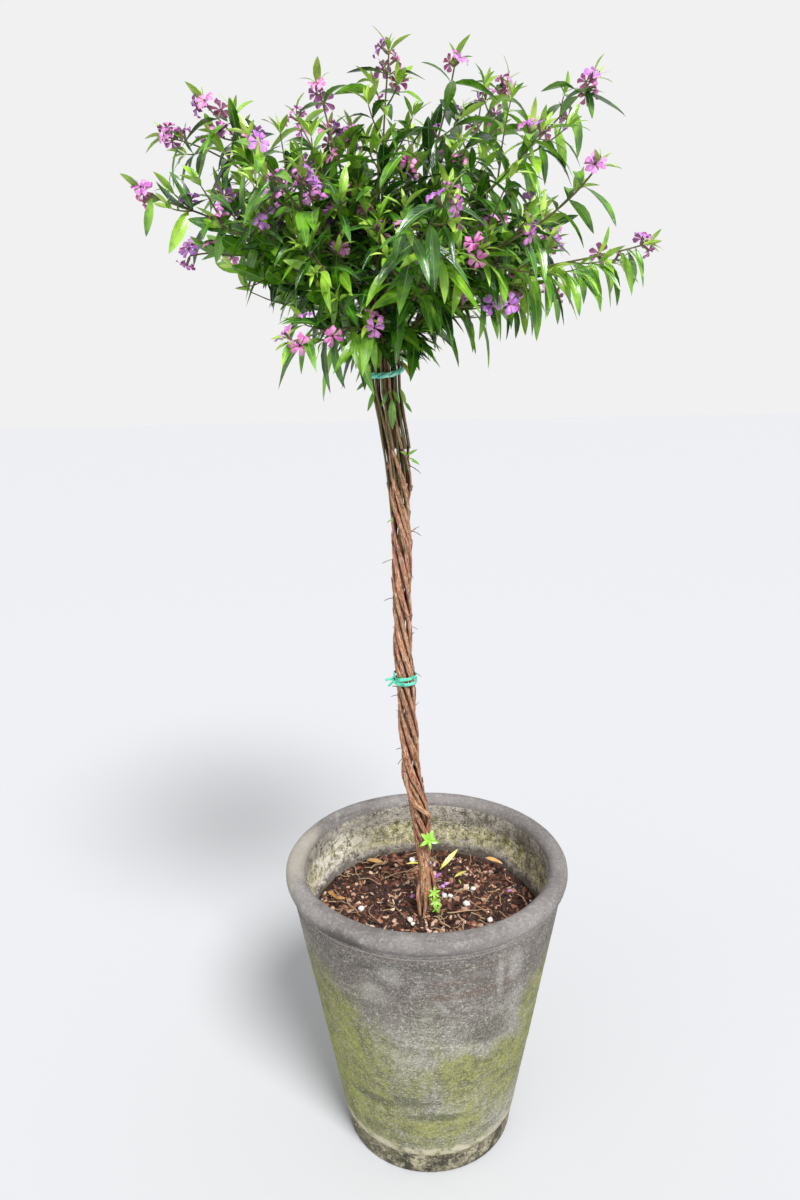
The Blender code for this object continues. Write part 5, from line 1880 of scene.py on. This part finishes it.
def litterTree():
    # scatters the shapes of a collection over the upward faces
    inputs = {"Surface": "Geometry", "Shapes": "Collection", "Density": "Float", "Smallest": "Float"}
    inputs.update({"Largest": "Float", "Tilt": "Float", "Seed": "Int", "Finish": "Material"})
    tree, given = newTree("scatterLitter", inputs, "Litter")
    seed, small, tilt = given["Seed"], given["Smallest"], given["Tilt"]
    links = {"Mesh": given["Surface"], "Density": given["Density"], "Seed": seed}
    spots = put(tree, "GeometryNodeDistributePointsOnFaces", links).outputs[0]
    shapes = put(tree, "GeometryNodeCollectionInfo", {0: given["Shapes"], 1: True, 2: True}).outputs[0]
    pick = drawn(tree, "INT", 0, 50, seed)
    # most pieces are small
    spread = calc(tree, "POWER", drawn(tree, "FLOAT", 0.0, 1.0, plus(tree, seed, 3.0)), 2.2)
    size = plus(tree, small, times(tree, spread, calc(tree, "SUBTRACT", given["Largest"], small)))
    high = put(tree, "ShaderNodeCombineXYZ", {0: tilt, 1: tilt, 2: math.tau}).outputs[0]
    low = vectorMath(tree, "SCALE", {0: high, "Scale": -1.0})[0]
    turn = drawn(tree, "FLOAT_VECTOR", low, high, seed)
    links = {"Points": spots, "Instance": shapes, "Pick Instance": True, "Instance Index": pick}
    links.update({"Rotation": turn, "Scale": size})
    stood = put(tree, "GeometryNodeInstanceOnPoints", links).outputs[0]
    tint = drawn(tree, "FLOAT", 0.0, 1.0, plus(tree, seed, 9.0))
    return endTree(tree, stored(tree, stood, "tint", tint, "FLOAT", "INSTANCE"), given["Finish"])


def chipMaterial():
    made, tree, place = newMaterial("barkChip", 0.55)
    ramp = put(tree, "ShaderNodeValToRGB", {0: marked(tree, "tint")})
    steps = ramp.color_ramp.elements
    while len(steps) < len(mix["chipTones"]):
        steps.new(0.5)
    for step, (spot, tone) in zip(steps, mix["chipTones"]):
        step.position = spot
        step.color = (*tone, 1.0)
    shade = speckle(tree, place, 0.35, 0.65, 900, 3, 0.7)
    tone = glaze(tree, ramp.outputs[0], shade, 0.5, (0.03, 0.014, 0.010))
    return finished(made, tone, grain(tree, place, 1100, 3, 0.7), 0.5, 0.0006)


def makeLitter(soil, top):
    # the upward faces of the mix carry chips and perlite
    bm = bmesh.new()
    bm.from_mesh(soil.data)
    bm.faces.ensure_lookup_table()
    bmesh.ops.delete(bm, geom=bm.faces[top:], context="FACES")
    reach = innerRadius(stand["soilLevel"]) - 0.003
    edge = [face for face in bm.faces if face.calc_center_median().to_2d().length > reach]
    bmesh.ops.delete(bm, geom=edge, context="FACES")
    surface = bpy.data.meshes.new("mixSurface")
    bm.to_mesh(surface)
    bm.free()
    luck = random.Random(mix["shapeSeed"])
    tree = litterTree()
    finishes = {"chips": chipMaterial()}
    finishes["grains"] = grainyMaterial("perlite", 0.8, 700, *mix["perliteTones"])
    shapes = {}
    for name, stretches in (("chips", mix["chipShapes"]), ("grains", mix["grainShapes"])):
        shapes[name] = bpy.data.collections.new(name)
        for k, stretch in enumerate(stretches):
            shapes[name].objects.link(chunkShape(f"{name}{k}", luck, stretch, finishes[name]))
    for name, kind, density, small, large, tilt in mix["litter"]:
        inputs = {"Shapes": shapes[kind], "Density": density, "Smallest": small, "Largest": large}
        inputs.update({"Tilt": tilt, "Seed": mix["scatterSeed"], "Finish": finishes[kind]})
        piece = grownMesh(name, linked(name + "Surface", surface.copy()), tree, inputs)
        settle(piece, "potting_mix")
        print(name, len(piece.data.polygons))
    lumps = []
    for k, (x, y, size) in enumerate(mix["lumps"]):
        lump = chunkShape(f"lump{k}", luck, (1.0, 0.85, 0.75), finishes["grains"], 2)
        place = Matrix.Translation((x, y, stand["soilLevel"] + 0.0022))
        lump.data.transform(place @ Matrix.Rotation(k * 1.3, 4, "Z") @ Matrix.Scale(size, 4))
        lumps.append(lump)
    settle(joined("perliteLumps", lumps), "potting_mix")
    for kind in shapes.values():
        for shape in list(kind.objects):
            bpy.data.objects.remove(shape, do_unlink=True)


def makeFibres(tree):
    luck = random.Random(mix["fibreSeed"])
    straw = grainyMaterial("strawFibre", 0.7, 120, *mix["strawTones"])
    paths = []
    for _ in range(mix["fibres"]):
        r = (mix["fibreReach"] - 0.003) * math.sqrt(luck.random())
        start = compass(luck.uniform(0, 360)) * r + up * (stand["soilLevel"] + 0.0012)
        heading = luck.uniform(0, 360)
        span = luck.uniform(*mix["fibreLength"])
        points = [start]
        for k in range(7):
            heading += luck.uniform(-28, 28)
            spot = points[-1] + compass(heading) * span / 7 + up * luck.uniform(-0.0005, 0.0006)
            if math.hypot(spot[0], spot[1]) > mix["fibreReach"]:
                break
            points.append(spot)
        if len(points) > 3:
            thick = luck.uniform(*mix["fibreRadius"])
            paths.append((points, [thick] * len(points), luck.random()))
    for number, (low, high) in enumerate(mix["straws"]):
        low = np.array([*low, stand["soilLevel"] + 0.0030])
        high = np.array([*high, stand["soilLevel"] + 0.0034])
        aside = sideOf(unit(high - low), 0.4) * 0.0012
        points = [low + (high - low) * k / 8 + aside * math.sin(k * 0.9 + number) for k in range(9)]
        paths.append((points, [mix["strawRadius"]] * 9, 0.9))
    settle(sweptPiece("strawFibres", paths, tree, straw, 5, 0.0), "potting_mix")
    print("fibres made:", len(paths))


def main():
    makeStudio()
    makePot()
    limbs = [limbOf(tier, index) for tier in sweeps for index in range(len(sweeps[tier]))]
    limbNodes = limbTree()
    placeNodes = placeTree()
    makeBraid(limbNodes)
    makeBoughs(limbs, limbNodes)
    makeStemTie()
    makeNeckTie()
    makeFoliage(limbs, limbNodes, placeNodes)
    soil, top = makeSoil()
    makeLitter(soil, top)
    makeFibres(limbNodes)
    makeFallen()


main()
